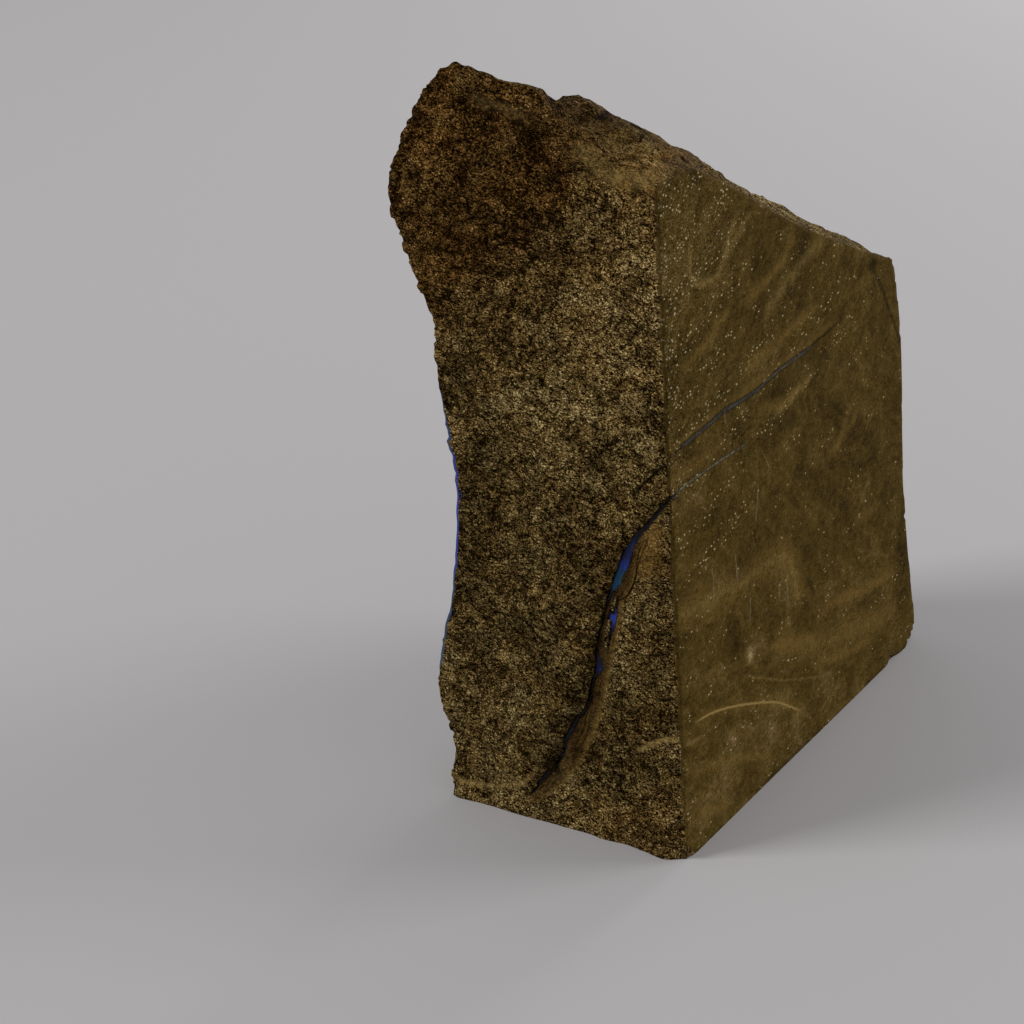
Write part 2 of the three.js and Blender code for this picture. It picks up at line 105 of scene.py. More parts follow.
# The fissure with opal in it: x, height and half width on the broken front, then depth, height and
# half width on the sawn side. A short second opening lies beside it on the front. Its strength fades
# over the last millimetres of each line.
FRONT_SEAM = [
    (-3.6, 56.6, 0.18), (-4.75, 55.9, 0.18), (-6.4, 53.5, 0.2), (-7.9, 51.5, 0.23), (-9.45, 49.45, 0.33),
    (-10.6, 47.3, 0.39), (-11.3, 45.2, 0.43), (-12.1, 43.1, 0.41), (-12.85, 41.0, 0.33),
    (-13.7, 39.0, 0.2), (-14.2, 37.5, 0.15), (-14.75, 35.4, 0.14), (-15.1, 33.4, 0.14),
    (-15.3, 31.3, 0.14), (-15.45, 29.7, 0.16), (-15.25, 28.8, 0.31), (-15.15, 27.7, 0.41),
    (-15.45, 26.6, 0.31), (-15.9, 25.4, 0.17), (-16.15, 23.9, 0.15), (-16.6, 21.8, 0.16),
    (-17.6, 19.7, 0.16), (-18.75, 18.1, 0.18), (-19.6, 16.3, 0.23), (-20.45, 14.6, 0.23),
    (-21.05, 12.4, 0.2), (-22.3, 9.75, 0.18), (-24.0, 7.2, 0.22), (-26.5, 3.55, 0.16),
]
SIDE_OPENING = [
    (-12.5, 39.0, 0.1), (-12.7, 38.0, 0.11), (-13.0, 36.85, 0.22), (-13.3, 35.6, 0.35),
    (-13.45, 34.4, 0.27), (-13.65, 33.1, 0.14), (-13.8, 31.7, 0.11), (-13.95, 30.7, 0.1),
]
SAWN_SEAM = [
    (-1.5, 56.3, 0.26), (2.7, 56.7, 0.17), (7.3, 56.8, 0.13), (12.1, 56.75, 0.12), (16.4, 56.7, 0.11),
    (20.7, 56.5, 0.1), (24.5, 56.4, 0.08),
]
SEAMS = [("front", FRONT_SEAM), ("front", SIDE_OPENING), ("sawn", SAWN_SEAM)]
SEAM_LENGTH_FADE = 2.5

# The opal layer on the split side: the heights and the depth it is laid within, a place to its left from
# which the split face is sought, and its border, as depth and height
SKIN_HEIGHTS = (12.0, 74.0)
SKIN_REACH = 64.0
LEFT_OF_BLOCK = -45.0
SKIN_BORDER = [
    (-6, 23), (-6, 65.5), (4, 68.5), (12, 67), (20, 70), (30, 66), (38, 60), (47, 59.5), (55, 52),
    (62, 43), (60, 33), (52, 27), (43, 24.5), (34, 17), (24, 14), (14, 18), (6, 17),
]

# Lines that are only colour; the thin cracks among them are painted shade. Each is drawn on one face,
# through points given across and up.
FRONT_LINES = {
    "band_edge": [
        (-5.0, 55.0), (-5.9, 53.6), (-7.3, 50.7), (-8.4, 48.1), (-9.2, 45.3), (-9.8, 42.8), (-10.9, 40.2),
        (-11.8, 37.7), (-12.3, 35.2), (-12.7, 32.0), (-13.4, 28.2), (-14.0, 25.2), (-14.8, 21.0),
        (-15.5, 18.3), (-16.5, 15.2), (-18.1, 11.9), (-20.0, 8.5), (-22.9, 5.2), (-26.0, 2.4),
    ],
    "gold_right": [(-9.4, 15.2), (-7.4, 16.7), (-5.0, 18.4), (-1.8, 19.7), (1.1, 21.0)],
    "gold_left": [(-41.9, 3.6), (-38.4, 2.8), (-34.9, 3.0), (-31.4, 3.8), (-28.0, 5.4), (-25.5, 7.4)],
    "loop_crack": [
        (-16.1, 27.5), (-16.9, 25.7), (-17.2, 24.3), (-18.4, 22.7), (-18.9, 21.0), (-18.5, 20.2),
        (-17.6, 19.7),
    ],
    "second_crack": [(-8.0, 49.6), (-9.1, 47.0), (-9.4, 43.6), (-10.4, 40.6), (-12.2, 38.9), (-13.6, 38.3)],
    "short_crack": [(-23.0, 15.6), (-20.9, 14.5)],
    "upper_crack": [
        (-10.4, 54.6), (-9.8, 55.8), (-8.9, 57.4), (-7.5, 58.8), (-5.7, 60.7), (-2.5, 61.4), (0.5, 61.8),
    ],
    "bevel_edge": [(-20.5, 105.1), (-18.2, 102.9), (-15.2, 101.0), (-11.4, 100.5), (-7.7, 100.6)],
    "ledge": [(-35.5, 109.8), (-34.5, 109.5), (-31.2, 108.8), (-27.8, 108.1), (-25.5, 107.0)],
    "band_crack": [(-7.2, 50.7), (-8.2, 48.1), (-9.0, 45.3), (-9.6, 42.8), (-10.7, 40.2), (-11.6, 37.7)],
    "upper_gold": [(-5.5, 53.0), (-6.6, 50.0), (-7.1, 47.3), (-8.0, 44.8), (-8.6, 42.5)],
}
SAWN_LINES = {
    "vein": [
        (-4.5, 61.2), (-1.8, 62.2), (3.3, 62.7), (8.4, 63.0), (13.2, 63.3), (17.0, 63.6), (22.4, 63.4),
        (27.4, 63.3), (31.4, 63.6), (36.0, 64.0), (40.7, 64.1), (44.3, 64.1), (49.2, 64.4), (54.0, 64.8),
        (58.0, 65.2),
    ],
    "vein_core": [
        (1.5, 62.6), (7.0, 62.9), (12.0, 63.2), (17.0, 63.6), (22.4, 63.4), (27.4, 63.3), (31.4, 63.6),
        (36.0, 64.0), (40.7, 64.1), (44.3, 64.1), (48.5, 64.3),
    ],
    "lens": [(-2.5, 58.5), (-0.2, 58.7), (4.9, 58.9), (10.1, 58.6), (15.5, 58.8), (19.0, 59.6)],
    "streak": [(32.0, 57.6), (33.8, 57.9), (38.0, 58.1), (41.6, 58.8), (45.8, 59.3), (49.0, 61.0)],
    "cup": [
        (9.6, 92.0), (8.6, 88.1), (8.6, 85.8), (10.2, 84.5), (12.5, 83.8), (15.9, 83.6), (18.7, 85.0),
        (21.1, 88.6), (25.0, 91.5),
    ],
    "top_streak": [(18.0, 85.0), (22.0, 86.9), (28.8, 90.5)],
    "mid_streak": [(30.0, 72.6), (33.3, 74.4), (38.0, 76.1), (46.4, 78.4), (53.8, 80.1)],
    "far_streak": [(50.0, 43.6), (51.8, 44.4), (57.1, 46.5), (59.8, 48.9), (63.1, 50.6), (66.0, 53.0)],
    "hook": [(17.2, 63.4), (17.4, 62.2), (18.2, 61.0), (19.0, 60.4)],
    "wave": [
        (-1.4, 38.8), (7.2, 37.6), (14.3, 36.7), (20.2, 35.7), (27.1, 35.7), (34.0, 34.7), (37.5, 33.0),
        (39.1, 29.1), (41.7, 23.1),
    ],
    "low_band": [(29.7, 23.0), (40.2, 17.6), (51.5, 14.0), (63.3, 10.9), (75.8, 9.1), (81.0, 9.6)],
    "hair": [(19.1, 21.6), (25.8, 18.3), (36.3, 13.5), (51.2, 8.0)],
    "arc": [(3.1, 20.5), (9.6, 19.6), (17.1, 17.4), (25.5, 14.3), (32.5, 11.2), (40.7, 6.1)],
    "short_arc": [(-0.8, 18.8), (0.7, 18.4), (5.4, 17.4), (8.0, 17.6)],
    "curl": [(28.4, 54.6), (29.0, 53.6), (31.2, 50.5), (30.4, 49.6), (28.7, 49.4)],
    "corner_line": [(70.6, 70.3), (73.8, 66.7), (77.0, 61.9), (80.9, 55.7), (82.4, 52.0)],
    "low_dash": [(60.0, 31.0), (67.0, 30.0), (75.0, 29.6)],
    "far_band": [(45.0, 20.5), (60.0, 18.5), (70.0, 17.0), (80.0, 16.5)],
}

# Sets of short strokes: each vertex keeps the nearest stroke of a set
SAWN_SETS = {
    "scratches": [
        [(33.4, 31.2), (33.7, 27.2)], [(36.2, 30.6), (36.7, 25.0)], [(36.9, 25.2), (35.2, 24.6)],
        [(19.0, 41.5), (19.6, 36.0)], [(11.6, 42.0), (12.0, 35.5)], [(23.6, 33.0), (23.2, 28.0)],
        [(27.6, 49.2), (26.2, 43.0)], [(17.3, 64.0), (17.6, 61.0)],
    ],
    "low_streaks": [
        [(0.5, 13.5), (10.0, 11.0), (22.0, 7.0), (30.0, 3.0)], [(44.0, 13.0), (58.0, 9.0), (70.0, 7.5)],
        [(28.0, 22.5), (38.0, 19.0), (47.0, 16.6)], [(2.0, 6.0), (9.0, 4.2), (16.0, 1.5)],
        [(52.0, 20.5), (64.0, 17.5), (78.0, 15.5)],
    ],
    "high_streaks": [
        [(22.0, 67.5), (36.0, 68.6), (52.0, 70.0)], [(24.0, 77.0), (36.0, 79.5), (44.0, 83.5)],
        [(3.0, 73.0), (12.0, 75.0), (22.0, 78.5)], [(28.0, 60.5), (38.0, 58.5), (47.0, 60.5)],
        [(53.0, 44.5), (60.0, 46.5), (66.0, 50.0)],
    ],
}

# Soft stains on the front and on the sawn side: amount, middle and radii across and up, and turn in degrees
FRONT_TONE = 0.488
FRONT_TONES = [
    (0.16, (-12, 80), (13, 30), 0), (0.14, (-24, 64), (11, 15), 0), (0.13, (-2, 82), (6, 26), 0),
    (0.16, (-11, 103), (12, 4.5), -8), (0.10, (-35, 112), (8, 3), -14), (-0.16, (-26, 105), (5, 4), -20),
    (-0.13, (-24, 99.5), (5, 3.5), 0), (0.07, (-42, 100), (4, 9), 10), (-0.08, (-32, 52), (9, 9), 0),
    (-0.10, (-19, 46), (7, 8), 0), (-0.08, (-8, 13), (6, 8), 20), (-0.07, (-34, 38), (9, 14), 0),
    (-0.07, (-5, 64), (7, 12), 0), (0.08, (-33, 12), (11, 14), 0), (0.06, (-30, 40), (9, 8), 0),
]
FRONT_WARMTH = [
    (-0.3, (-34, 22), (16, 30), 0), (1.1, (-9, 101.5), (11, 4), -6), (0.4, (-6.5, 47), (4, 10), 15),
    (0.45, (-6, 3), (15, 9), 0),
]
FRONT_WEAR = [(1.6, (-11, 103), (14, 6), -8)]
SAWN_TONE = 0.425
SAWN_TONES = [
    (0.06, (10, 88), (22, 18), -10), (0.05, (30, 66), (30, 6), 5), (0.09, (5, 51), (9, 8), 0),
    (0.05, (14, 40), (22, 9), 0), (-0.07, (57, 35), (24, 20), 0), (-0.10, (43, 80), (10, 4.5), -30),
    (-0.08, (19, 57.5), (10, 3.5), 0), (-0.20, (81, 16), (6, 15), -8), (0.09, (24, 6), (36, 12), 0),
    (0.10, (4, 6), (8, 6), 0), (0.26, (15.6, 12.3), (2.4, 3.0), 0), (0.40, (22.7, 23.4), (2.2, 2.6), 20),
    (0.16, (28.5, 58.8), (4.0, 2.4), 10), (0.07, (66, 69), (12, 10), 0), (0.12, (35, 31), (6, 8), 0),
    (-0.34, (71.1, 70.6), (3.0, 2.4), -20),
]
# Where the sawn side's pale grains, which are also painted glints, lie thickest
SAWN_SPARKLE = [
    (0.35, (16, 90), (20, 16), 0), (0.3, (42, 68), (34, 20), 5), (0.2, (14, 46), (18, 12), 0),
    (0.15, (30, 58), (20, 6), 0),
]
SAWN_GREEN = [(0.6, (15, 91), (5, 4), 0)]
UNDER_VEIN = [(1.0, (38, 60), (22, 7), 5)]

# The lower border of the warm upper rock, across and up
UPPER_ROCK_FOOT = [(-48, 71), (-43, 74), (-36, 78), (-28, 84), (-22, 92), (-19, 99), (-17, 104), (0, 116)]

# Places where the edge is chipped or stands out: centre, radius, and how far the rock moves there
CHIPS = [
    ((-22.3, 8.6, 108.0), 5.0, (0.0, 0.0, 0.6)), ((-24.2, 1.0, 110.8), 1.8, (0.0, 0.2, -1.4)),
    ((-25.2, 3.5, 110.4), 1.8, (0.0, 0.0, -1.6)), ((-26.1, 5.6, 109.9), 1.8, (0.0, 0.0, -1.6)),
    ((-26.9, 7.4, 109.2), 1.8, (0.0, 0.0, -1.6)), ((0.5, -0.3, 0.0), 3.0, (-0.5, 0.4, 0.0)),
    ((-1.0, -0.6, 5.2), 1.8, (-0.2, 0.6, 0.0)), ((1.2, 77.0, 0.0), 3.0, (-0.5, 0.0, 0.0)),
    ((-5.0, 79.5, 69.5), 2.2, (-0.2, -0.5, -0.3)), ((-41.0, -1.0, 1.0), 3.0, (0.6, 0.5, 0.0)),
    ((-8.5, -3.0, 0.0), 6.5, (0.0, 1.5, 0.0)), ((-36.0, 1.0, 111.0), 7.0, (-0.2, -0.1, 0.6)),
    ((-17.5, 3.0, 103.0), 5.0, (0.0, 0.0, 0.7)), ((-45.5, 0.0, 84.0), 9.0, (-0.5, 0.0, 0.0)),
]


def block_mm(points):
    """Places in metres in the row frame, as millimetres from the sawn corner's foot."""
    return np.asarray(points, dtype=float) / MM - CORNER


def frame_m(points):
    """Places in millimetres from the sawn corner's foot, as metres in the row frame."""
    return (np.asarray(points, dtype=float) + CORNER) * MM


def smooth(low, high, value):
    """A smooth step from 0 to 1 as a value goes from low to high."""
    t = np.clip((value - low) / (high - low), 0.0, 1.0)
    return t * t * (3.0 - 2.0 * t)


def above_sawn(p):
    """How far places stand out of the sawn plane, in millimetres."""
    return (p[:, 0] - SAWN_SPLAY * p[:, 1] + SAWN_LEAN * p[:, 2]) * SAWN_NORMAL[0]


def drawn(points, step=0.25):
    """A smooth line through a few points, as many even places, with any further columns carried along."""
    pts = np.asarray(points, dtype=float)
    pts = np.vstack((2 * pts[0] - pts[1], pts, 2 * pts[-1] - pts[-2]))
    out = []
    for i in range(1, len(pts) - 2):
        a, b, c, d = pts[i - 1], pts[i], pts[i + 1], pts[i + 2]
        t = np.linspace(0.0, 1.0, 24, endpoint=False)[:, None]
        bend = (2 * a - 5 * b + 4 * c - d) * t**2 + (3 * b - a - 3 * c + d) * t**3
        out.append(0.5 * (2 * b + (c - a) * t + bend))
    line = np.vstack(out + [pts[-2][None]])
    run = np.concatenate(([0.0], np.cumsum(np.hypot(*np.diff(line[:, :2], axis=0).T))))
    places = np.linspace(0.0, run[-1], max(3, int(run[-1] / step)))
    return np.stack([np.interp(places, run, line[:, k]) for k in range(line.shape[1])], axis=1), run[-1]


def evened(values):
    """A row of values, each made the mean of itself and two on either side."""
    return np.convolve(np.pad(values, 2, mode="edge"), np.ones(5) / 5, mode="valid")


def line_field(flat, points):
    """For flat places: the signed distance to a drawn line, and the place along it, both in millimetres."""
    line, length = drawn(points)
    tangent = np.gradient(line[:, :2], axis=0)
    tangent /= np.linalg.norm(tangent, axis=1)[:, None]
    best = np.full(len(flat), 1e9)
    index = np.zeros(len(flat), dtype=int)
    for i, spot in enumerate(line):
        far = (flat[:, 0] - spot[0]) ** 2 + (flat[:, 1] - spot[1]) ** 2
        closer = far < best
        best[closer] = far[closer]
        index[closer] = i
    rest = flat - line[index, :2]
    t = tangent[index]
    side = t[:, 0] * rest[:, 1] - t[:, 1] * rest[:, 0]
    along = index * length / (len(line) - 1) + (t * rest).sum(axis=1)
    past_an_end = (index == 0) | (index == len(line) - 1)
    distance = np.where(past_an_end, side, np.copysign(np.sqrt(best), side))
    return distance, along, length, line[index]


def line_attribute(flat, here, points, fade):
    """Distance, strength and place of a drawn line for every vertex, with strength fading at both ends."""
    out = np.zeros((len(flat), 3))
    out[:, 0] = 50.0
    distance, along, length, _ = line_field(flat[here], points)
    strength = smooth(0.0, fade, along) * smooth(0.0, fade, length - along)
    out[here, 0] = distance
    out[here, 1] = strength
    out[here, 2] = along
    return out


def nearest_line_attribute(flat, here, lines, fade):
    """The attribute of whichever drawn line of a set is nearest to each vertex."""
    out = line_attribute(flat, here, lines[0], fade)
    for points in lines[1:]:
        other = line_attribute(flat, here, points, fade)
        far, best = (np.abs(a[:, 0]) + 9.0 * (a[:, 1] <= 0) for a in (other, out))
        out[far < best] = other[far < best]
    return out


def border_distance(flat, border):
    """Signed distance to a closed border, positive inside, in millimetres."""
    b = np.asarray(border, dtype=float)
    nxt = np.roll(b, -1, axis=0)
    best = np.full(len(flat), 1e9)
    inside = np.zeros(len(flat), dtype=bool)
    for (ax, ay), (bx, by) in zip(b, nxt):
        edge = np.array((bx - ax, by - ay))
        rel = flat - (ax, ay)
        t = np.clip((rel @ edge) / (edge @ edge), 0.0, 1.0)
        best = np.minimum(best, np.linalg.norm(rel - t[:, None] * edge, axis=1))
        if ay != by:
            crosses = (ay > flat[:, 1]) != (by > flat[:, 1])
            inside ^= crosses & (flat[:, 0] < (bx - ax) * (flat[:, 1] - ay) / (by - ay) + ax)
    return np.where(inside, best, -best)


def spot(p2, centre, radii, angle=0.0):
    """A soft round stain: 1 in its middle and 0 past its rim."""
    a = math.radians(angle)
    rel = p2 - np.asarray(centre, dtype=float)
    u = (rel[:, 0] * math.cos(a) + rel[:, 1] * math.sin(a)) / radii[0]
    v = (-rel[:, 0] * math.sin(a) + rel[:, 1] * math.cos(a)) / radii[1]
    return 1.0 - smooth(0.0, 1.0, np.sqrt(u * u + v * v))


def merged_copy(name):
    """A CAD node's mesh with its loose triangles merged."""
    bm = bmesh.new()
    bm.from_mesh(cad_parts[name].data)
    bmesh.ops.remove_doubles(bm, verts=bm.verts, dist=1e-6)
    bm.normal_update()
    return bm


def coordinates(mesh):
    """Every vertex's place, as rows."""
    co = np.empty(len(mesh.vertices) * 3)
    mesh.vertices.foreach_get("co", co)
    return co.reshape(-1, 3)


def normals(mesh):
    """Every vertex's normal, as rows."""
    out = np.empty(len(mesh.vertices) * 3)
    mesh.vertex_normals.foreach_get("vector", out)
    return out.reshape(-1, 3)


def set_coordinates(mesh, co):
    """Moves every vertex to its row's place."""
    mesh.vertices.foreach_set("co", co.astype(np.float32).ravel())
    mesh.update()


def set_attribute(mesh, name, values):
    """Stores one number or one vector for every vertex."""
    kind, key = ("FLOAT", "value") if values.ndim == 1 else ("FLOAT_VECTOR", "vector")
    layer = mesh.attributes.new(name, kind, "POINT")
    layer.data.foreach_set(key, values.astype(np.float32).ravel())


def finish_piece(name, mesh, material, node):
    """Puts a finished mesh into the scene in place of its CAD node."""
    mesh.name = name
    mesh.materials.clear()
    mesh.materials.append(material)
    for face in mesh.polygons:
        face.material_index = 0
    mesh.polygons.foreach_set("use_smooth", [True] * len(mesh.polygons))
    piece = bpy.data.objects.new(name, mesh)
    bpy.context.scene.collection.objects.link(piece)
    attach(piece, BODY)
    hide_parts(node)
    return piece


def evaluated_mesh(mesh, add_modifier):
    """A plain mesh from one modifier's result."""
    work = bpy.data.objects.new("work", mesh)
    bpy.context.scene.collection.objects.link(work)
    add_modifier(work)
    bpy.context.view_layer.update()
    graph = bpy.context.evaluated_depsgraph_get()
    result = bpy.data.meshes.new_from_object(work.evaluated_get(graph))
    work.modifiers.clear()
    bpy.data.objects.remove(work)
    return result


# Node writing


class Nodes:
    """Writes nodes into one tree. A value may be a number, a colour or another node's output."""

    def __init__(self, tree):
        self.tree = tree
        self.column = 0

    def add(self, kind, **settings):
        """A new node, placed after the last one."""
        node = self.tree.nodes.new(kind)
        node.location = (self.column * 180 - 2400, -(self.column % 6) * 220)
        self.column += 1
        for key, value in settings.items():
            setattr(node, key, value)
        return node

    def put(self, node, name, value):
        """Links an output to an input, or sets the input to a constant."""
        socket = node.inputs[name]
        if isinstance(value, bpy.types.NodeSocket):
            self.tree.links.new(value, socket)
        elif value is not None:
            if socket.type == "RGBA" and len(value) == 3:
                value = (*value, 1.0)
            socket.default_value = value

    def math(self, operation, a, b=None, c=None):
        node = self.add("ShaderNodeMath", operation=operation)
        for i, value in enumerate((a, b, c)):
            self.put(node, i, value)
        return node.outputs[0]

    def vector(self, operation, a, b=None, c=None, scale=None):
        node = self.add("ShaderNodeVectorMath", operation=operation)
        self.put(node, 0, a)
        if b is not None:
            self.put(node, 1, b)
        if c is not None:
            self.put(node, 2, c)
        if scale is not None:
            self.put(node, "Scale", scale)
        return node.outputs["Value" if operation in ("LENGTH", "DISTANCE", "DOT_PRODUCT") else "Vector"]

    def step(self, value, low, high, to_low=0.0, to_high=1.0):
        """A smooth step of a value from low to high."""
        node = self.add("ShaderNodeMapRange", interpolation_type="SMOOTHSTEP", clamp=True)
        names = ("Value", "From Min", "From Max", "To Min", "To Max")
        for name, number in zip(names, (value, low, high, to_low, to_high)):
            self.put(node, name, number)
        return node.outputs[0]

    def mix(self, factor, a, b, blend="MIX"):
        """One colour over another."""
        node = self.add("ShaderNodeMix", data_type="RGBA", blend_type=blend, clamp_factor=True)
        self.put(node, 0, factor)
        self.put(node, 6, a)
        self.put(node, 7, b)
        return node.outputs[2]

    def mix_vector(self, factor, a, b):
        node = self.add("ShaderNodeMix", data_type="VECTOR", clamp_factor=True)
        self.put(node, 0, factor)
        self.put(node, 4, a)
        self.put(node, 5, b)
        return node.outputs[1]

    def ramp(self, value, stops):
        """A run of colours at given places from 0 to 1."""
        node = self.add("ShaderNodeValToRGB")
        self.put(node, 0, value)
        marks = node.color_ramp.elements
        while len(marks) < len(stops):
            marks.new(0.5)
        for mark, (place, shade) in zip(marks, stops):
            mark.position = place
            mark.color = (*shade, 1.0)
        return node.outputs[0]

    def centred(self, value, amount):
        """A 0 to 1 value as a swing round zero."""
        return self.math("MULTIPLY", self.math("SUBTRACT", value, 0.5), amount)

    def total(self, *values):
        out = values[0]
        for value in values[1:]:
            out = self.math("ADD", out, value)
        return out

    def product(self, *values):
        out = values[0]
        for value in values[1:]:
            out = self.math("MULTIPLY", out, value)
        return out

    def one_over(self, size):
        """The scale that gives a texture features of a size."""
        return self.math("DIVIDE", 1.0, size) if isinstance(size, bpy.types.NodeSocket) else 1.0 / size

    def noise(self, place, size, detail=2.0, rough=0.5, distortion=0.0, output="Fac"):
        """Cloudy noise whose features are about the given size across, in millimetres."""
        node = self.add("ShaderNodeTexNoise", noise_dimensions="3D")
        self.put(node, "Vector", place)
        self.put(node, "Scale", self.one_over(size))
        self.put(node, "Detail", detail)
        self.put(node, "Roughness", rough)
        self.put(node, "Distortion", distortion)
        return node.outputs[output]

    def cells(self, place, size):
        """Cells about the given size across, in millimetres, each with its own random colour."""
        node = self.add("ShaderNodeTexVoronoi", feature="F1", voronoi_dimensions="3D")
        self.put(node, "Vector", place)
        self.put(node, "Scale", self.one_over(size))
        return node.outputs

    def bump(self, shader, height, strength):
        """Bump on a shader, from a height in millimetres."""
        node = self.add("ShaderNodeBump")
        self.put(node, "Strength", strength)
        self.put(node, "Distance", MM)
        self.put(node, "Height", height)
        self.put(shader, "Normal", node.outputs[0])

    def turned(self, place, degrees, scale):
        """A place turned and squeezed, so that a pattern on it lies at a slant and runs long."""
        node = self.add("ShaderNodeMapping", vector_type="TEXTURE")
        self.put(node, "Vector", place)
        self.put(node, "Rotation", tuple(math.radians(d) for d in degrees))
        self.put(node, "Scale", scale)
        return node.outputs[0]

    def attribute(self, name, output="Fac"):
        node = self.add("ShaderNodeAttribute", attribute_name=name)
        return node.outputs[output]

    def parts(self, vector):
        """The three numbers of a vector."""
        node = self.add("ShaderNodeSeparateXYZ")
        self.put(node, 0, vector)
        return node.outputs[0], node.outputs[1], node.outputs[2]

    def group(self, tree, **values):
        """A node group's outputs. An underscore in an input's name here stands for a space."""
        node = self.add("ShaderNodeGroup")
        node.node_tree = tree
        for name, value in values.items():
            self.put(node, name.replace("_", " "), value)
        return node.outputs


def new_group(name, inputs, outputs):
    """An empty shader node group with named inputs and outputs."""
    tree = bpy.data.node_groups.new(name, "ShaderNodeTree")
    for label, kind, default in inputs:
        socket = tree.interface.new_socket(label, in_out="INPUT", socket_type=kind)
        if default is not None:
            socket.default_value = default
    for label, kind in outputs:
        tree.interface.new_socket(label, in_out="OUTPUT", socket_type=kind)
    n = Nodes(tree)
    return n, n.add("NodeGroupInput").outputs, n.add("NodeGroupOutput")


def block_place_group():
    """Object coordinates as millimetres from the sawn corner's foot."""
    name = "Block place"
    if name in bpy.data.node_groups:
        return bpy.data.node_groups[name]
    n, _, out = new_group(name, [], [("Place", "NodeSocketVector")])
    place = n.add("ShaderNodeTexCoord").outputs["Object"]
    place = n.vector("SCALE", place, scale=1.0 / MM)
    n.put(out, "Place", n.vector("SUBTRACT", place, tuple(CORNER)))
    return n.tree


def grain_group():
    """Sandstone grain from 0 to 1: the fine grains, and the knobs of a few grains each."""
    name = "Sandstone grain"
    if name in bpy.data.node_groups:
        return bpy.data.node_groups[name]
    n, g, out = new_group(
        name,
        [("Place", "NodeSocketVector", None), ("Grain Size", "NodeSocketFloat", 0.17),
         ("Knob Size", "NodeSocketFloat", 0.75)],
        [("Grain", "NodeSocketFloat"), ("Knobs", "NodeSocketFloat")],
    )
    grain = n.centred(n.noise(g["Place"], g["Grain Size"], 1.0, 0.5), 0.75)
    # Thin wrinkles pull the grain down: where the grain colours a surface they are painted shade in the
    # crevices between grains, where it bumps one they are the crevices
    wrinkle = n.noise(g["Place"], n.product(g["Grain Size"], 2.3), 1.0, 0.5, 0.8)
    wrinkle = n.step(n.math("ABSOLUTE", n.math("SUBTRACT", wrinkle, 0.5)), 0.0, 0.075, -0.26, 0.08)
    n.put(out, "Grain", n.total(grain, wrinkle, 0.5))
    n.put(out, "Knobs", n.noise(g["Place"], g["Knob Size"], 1.5, 0.6))
    return n.tree


def line_group():
    """A drawn line: its mask from a distance and strength attribute, with a ragged border."""
    name = "Drawn line"
    if name in bpy.data.node_groups:
        return bpy.data.node_groups[name]
    n, g, out = new_group(
        name,
        [("Field", "NodeSocketVector", None), ("Wander", "NodeSocketFloat", 0.0),
         ("Half Width", "NodeSocketFloat", 0.3), ("Softness", "NodeSocketFloat", 0.15),
         ("Raggedness", "NodeSocketFloat", 0.3)],
        [("Mask", "NodeSocketFloat"), ("Distance", "NodeSocketFloat")],
    )
    distance, strength, _ = n.parts(g["Field"])
    distance = n.math("MULTIPLY_ADD", g["Wander"], g["Raggedness"], distance)
    n.put(out, "Distance", distance)
    inner = n.math("SUBTRACT", g["Half Width"], g["Softness"])
    outer = n.total(g["Half Width"], g["Softness"])
    mask = n.step(n.math("ABSOLUTE", distance), outer, inner)
    n.put(out, "Mask", n.product(mask, strength))
    return n.tree


def opal_group():
    """Play of colour: facing patches of blue, teal and violet in dark clear opal."""
    name = "Play of colour"
    if name in bpy.data.node_groups:
        return bpy.data.node_groups[name]
    colour = "NodeSocketColor"
    n, g, out = new_group(
        name,
        [("Place", "NodeSocketVector", None), ("Patch Size", "NodeSocketFloat", 1.4),
         ("Body", colour, (0.004, 0.005, 0.012, 1)), ("Blue", colour, (0.02, 0.05, 0.42, 1)),
         ("Teal", colour, (0.01, 0.16, 0.30, 1)), ("Violet", colour, (0.09, 0.02, 0.42, 1)),
         ("Strength", "NodeSocketFloat", 0.6)],
        [("Color", colour)],
    )
    bend = n.vector("SCALE", n.noise(g["Place"], 1.6, 2.0, 0.5, output="Color"), scale=1.4)
    bent = n.vector("ADD", g["Place"], bend)
    hue, amount, _ = n.parts(n.cells(bent, g["Patch Size"])["Color"])
    fine = n.noise(g["Place"], 0.5, 2.0, 0.6)
    flash = n.step(n.total(n.product(amount, 0.75), n.product(fine, 0.4)), 0.45, 0.95)
    tint = n.mix(n.step(hue, 0.5, 0.62), g["Blue"], g["Teal"])
    tint = n.mix(n.step(hue, 0.78, 0.86), tint, g["Violet"])
    flash = n.total(n.product(flash, 0.75), 0.25)
    n.put(out, "Color", n.mix(n.product(flash, g["Strength"]), g["Body"], tint))
    return n.tree


def play_of_colour(n, s, place, patch_size, strength):
    """The play of colour node group, set to the opal's own colours."""
    return n.group(opal_group(), Place=place, Patch_Size=patch_size, Body=s.body, Blue=s.blue, Teal=s.teal,
                   Violet=s.violet, Strength=strength)["Color"]


def new_material(name):
    """An empty material with one Principled shader."""
    material = bpy.data.materials.new(name)
    material.use_nodes = True
    tree = material.node_tree
    tree.nodes.clear()
    n = Nodes(tree)
    shader = n.add("ShaderNodeBsdfPrincipled")
    output = n.add("ShaderNodeOutputMaterial")
    tree.links.new(shader.outputs[0], output.inputs["Surface"])
    return material, n, shader


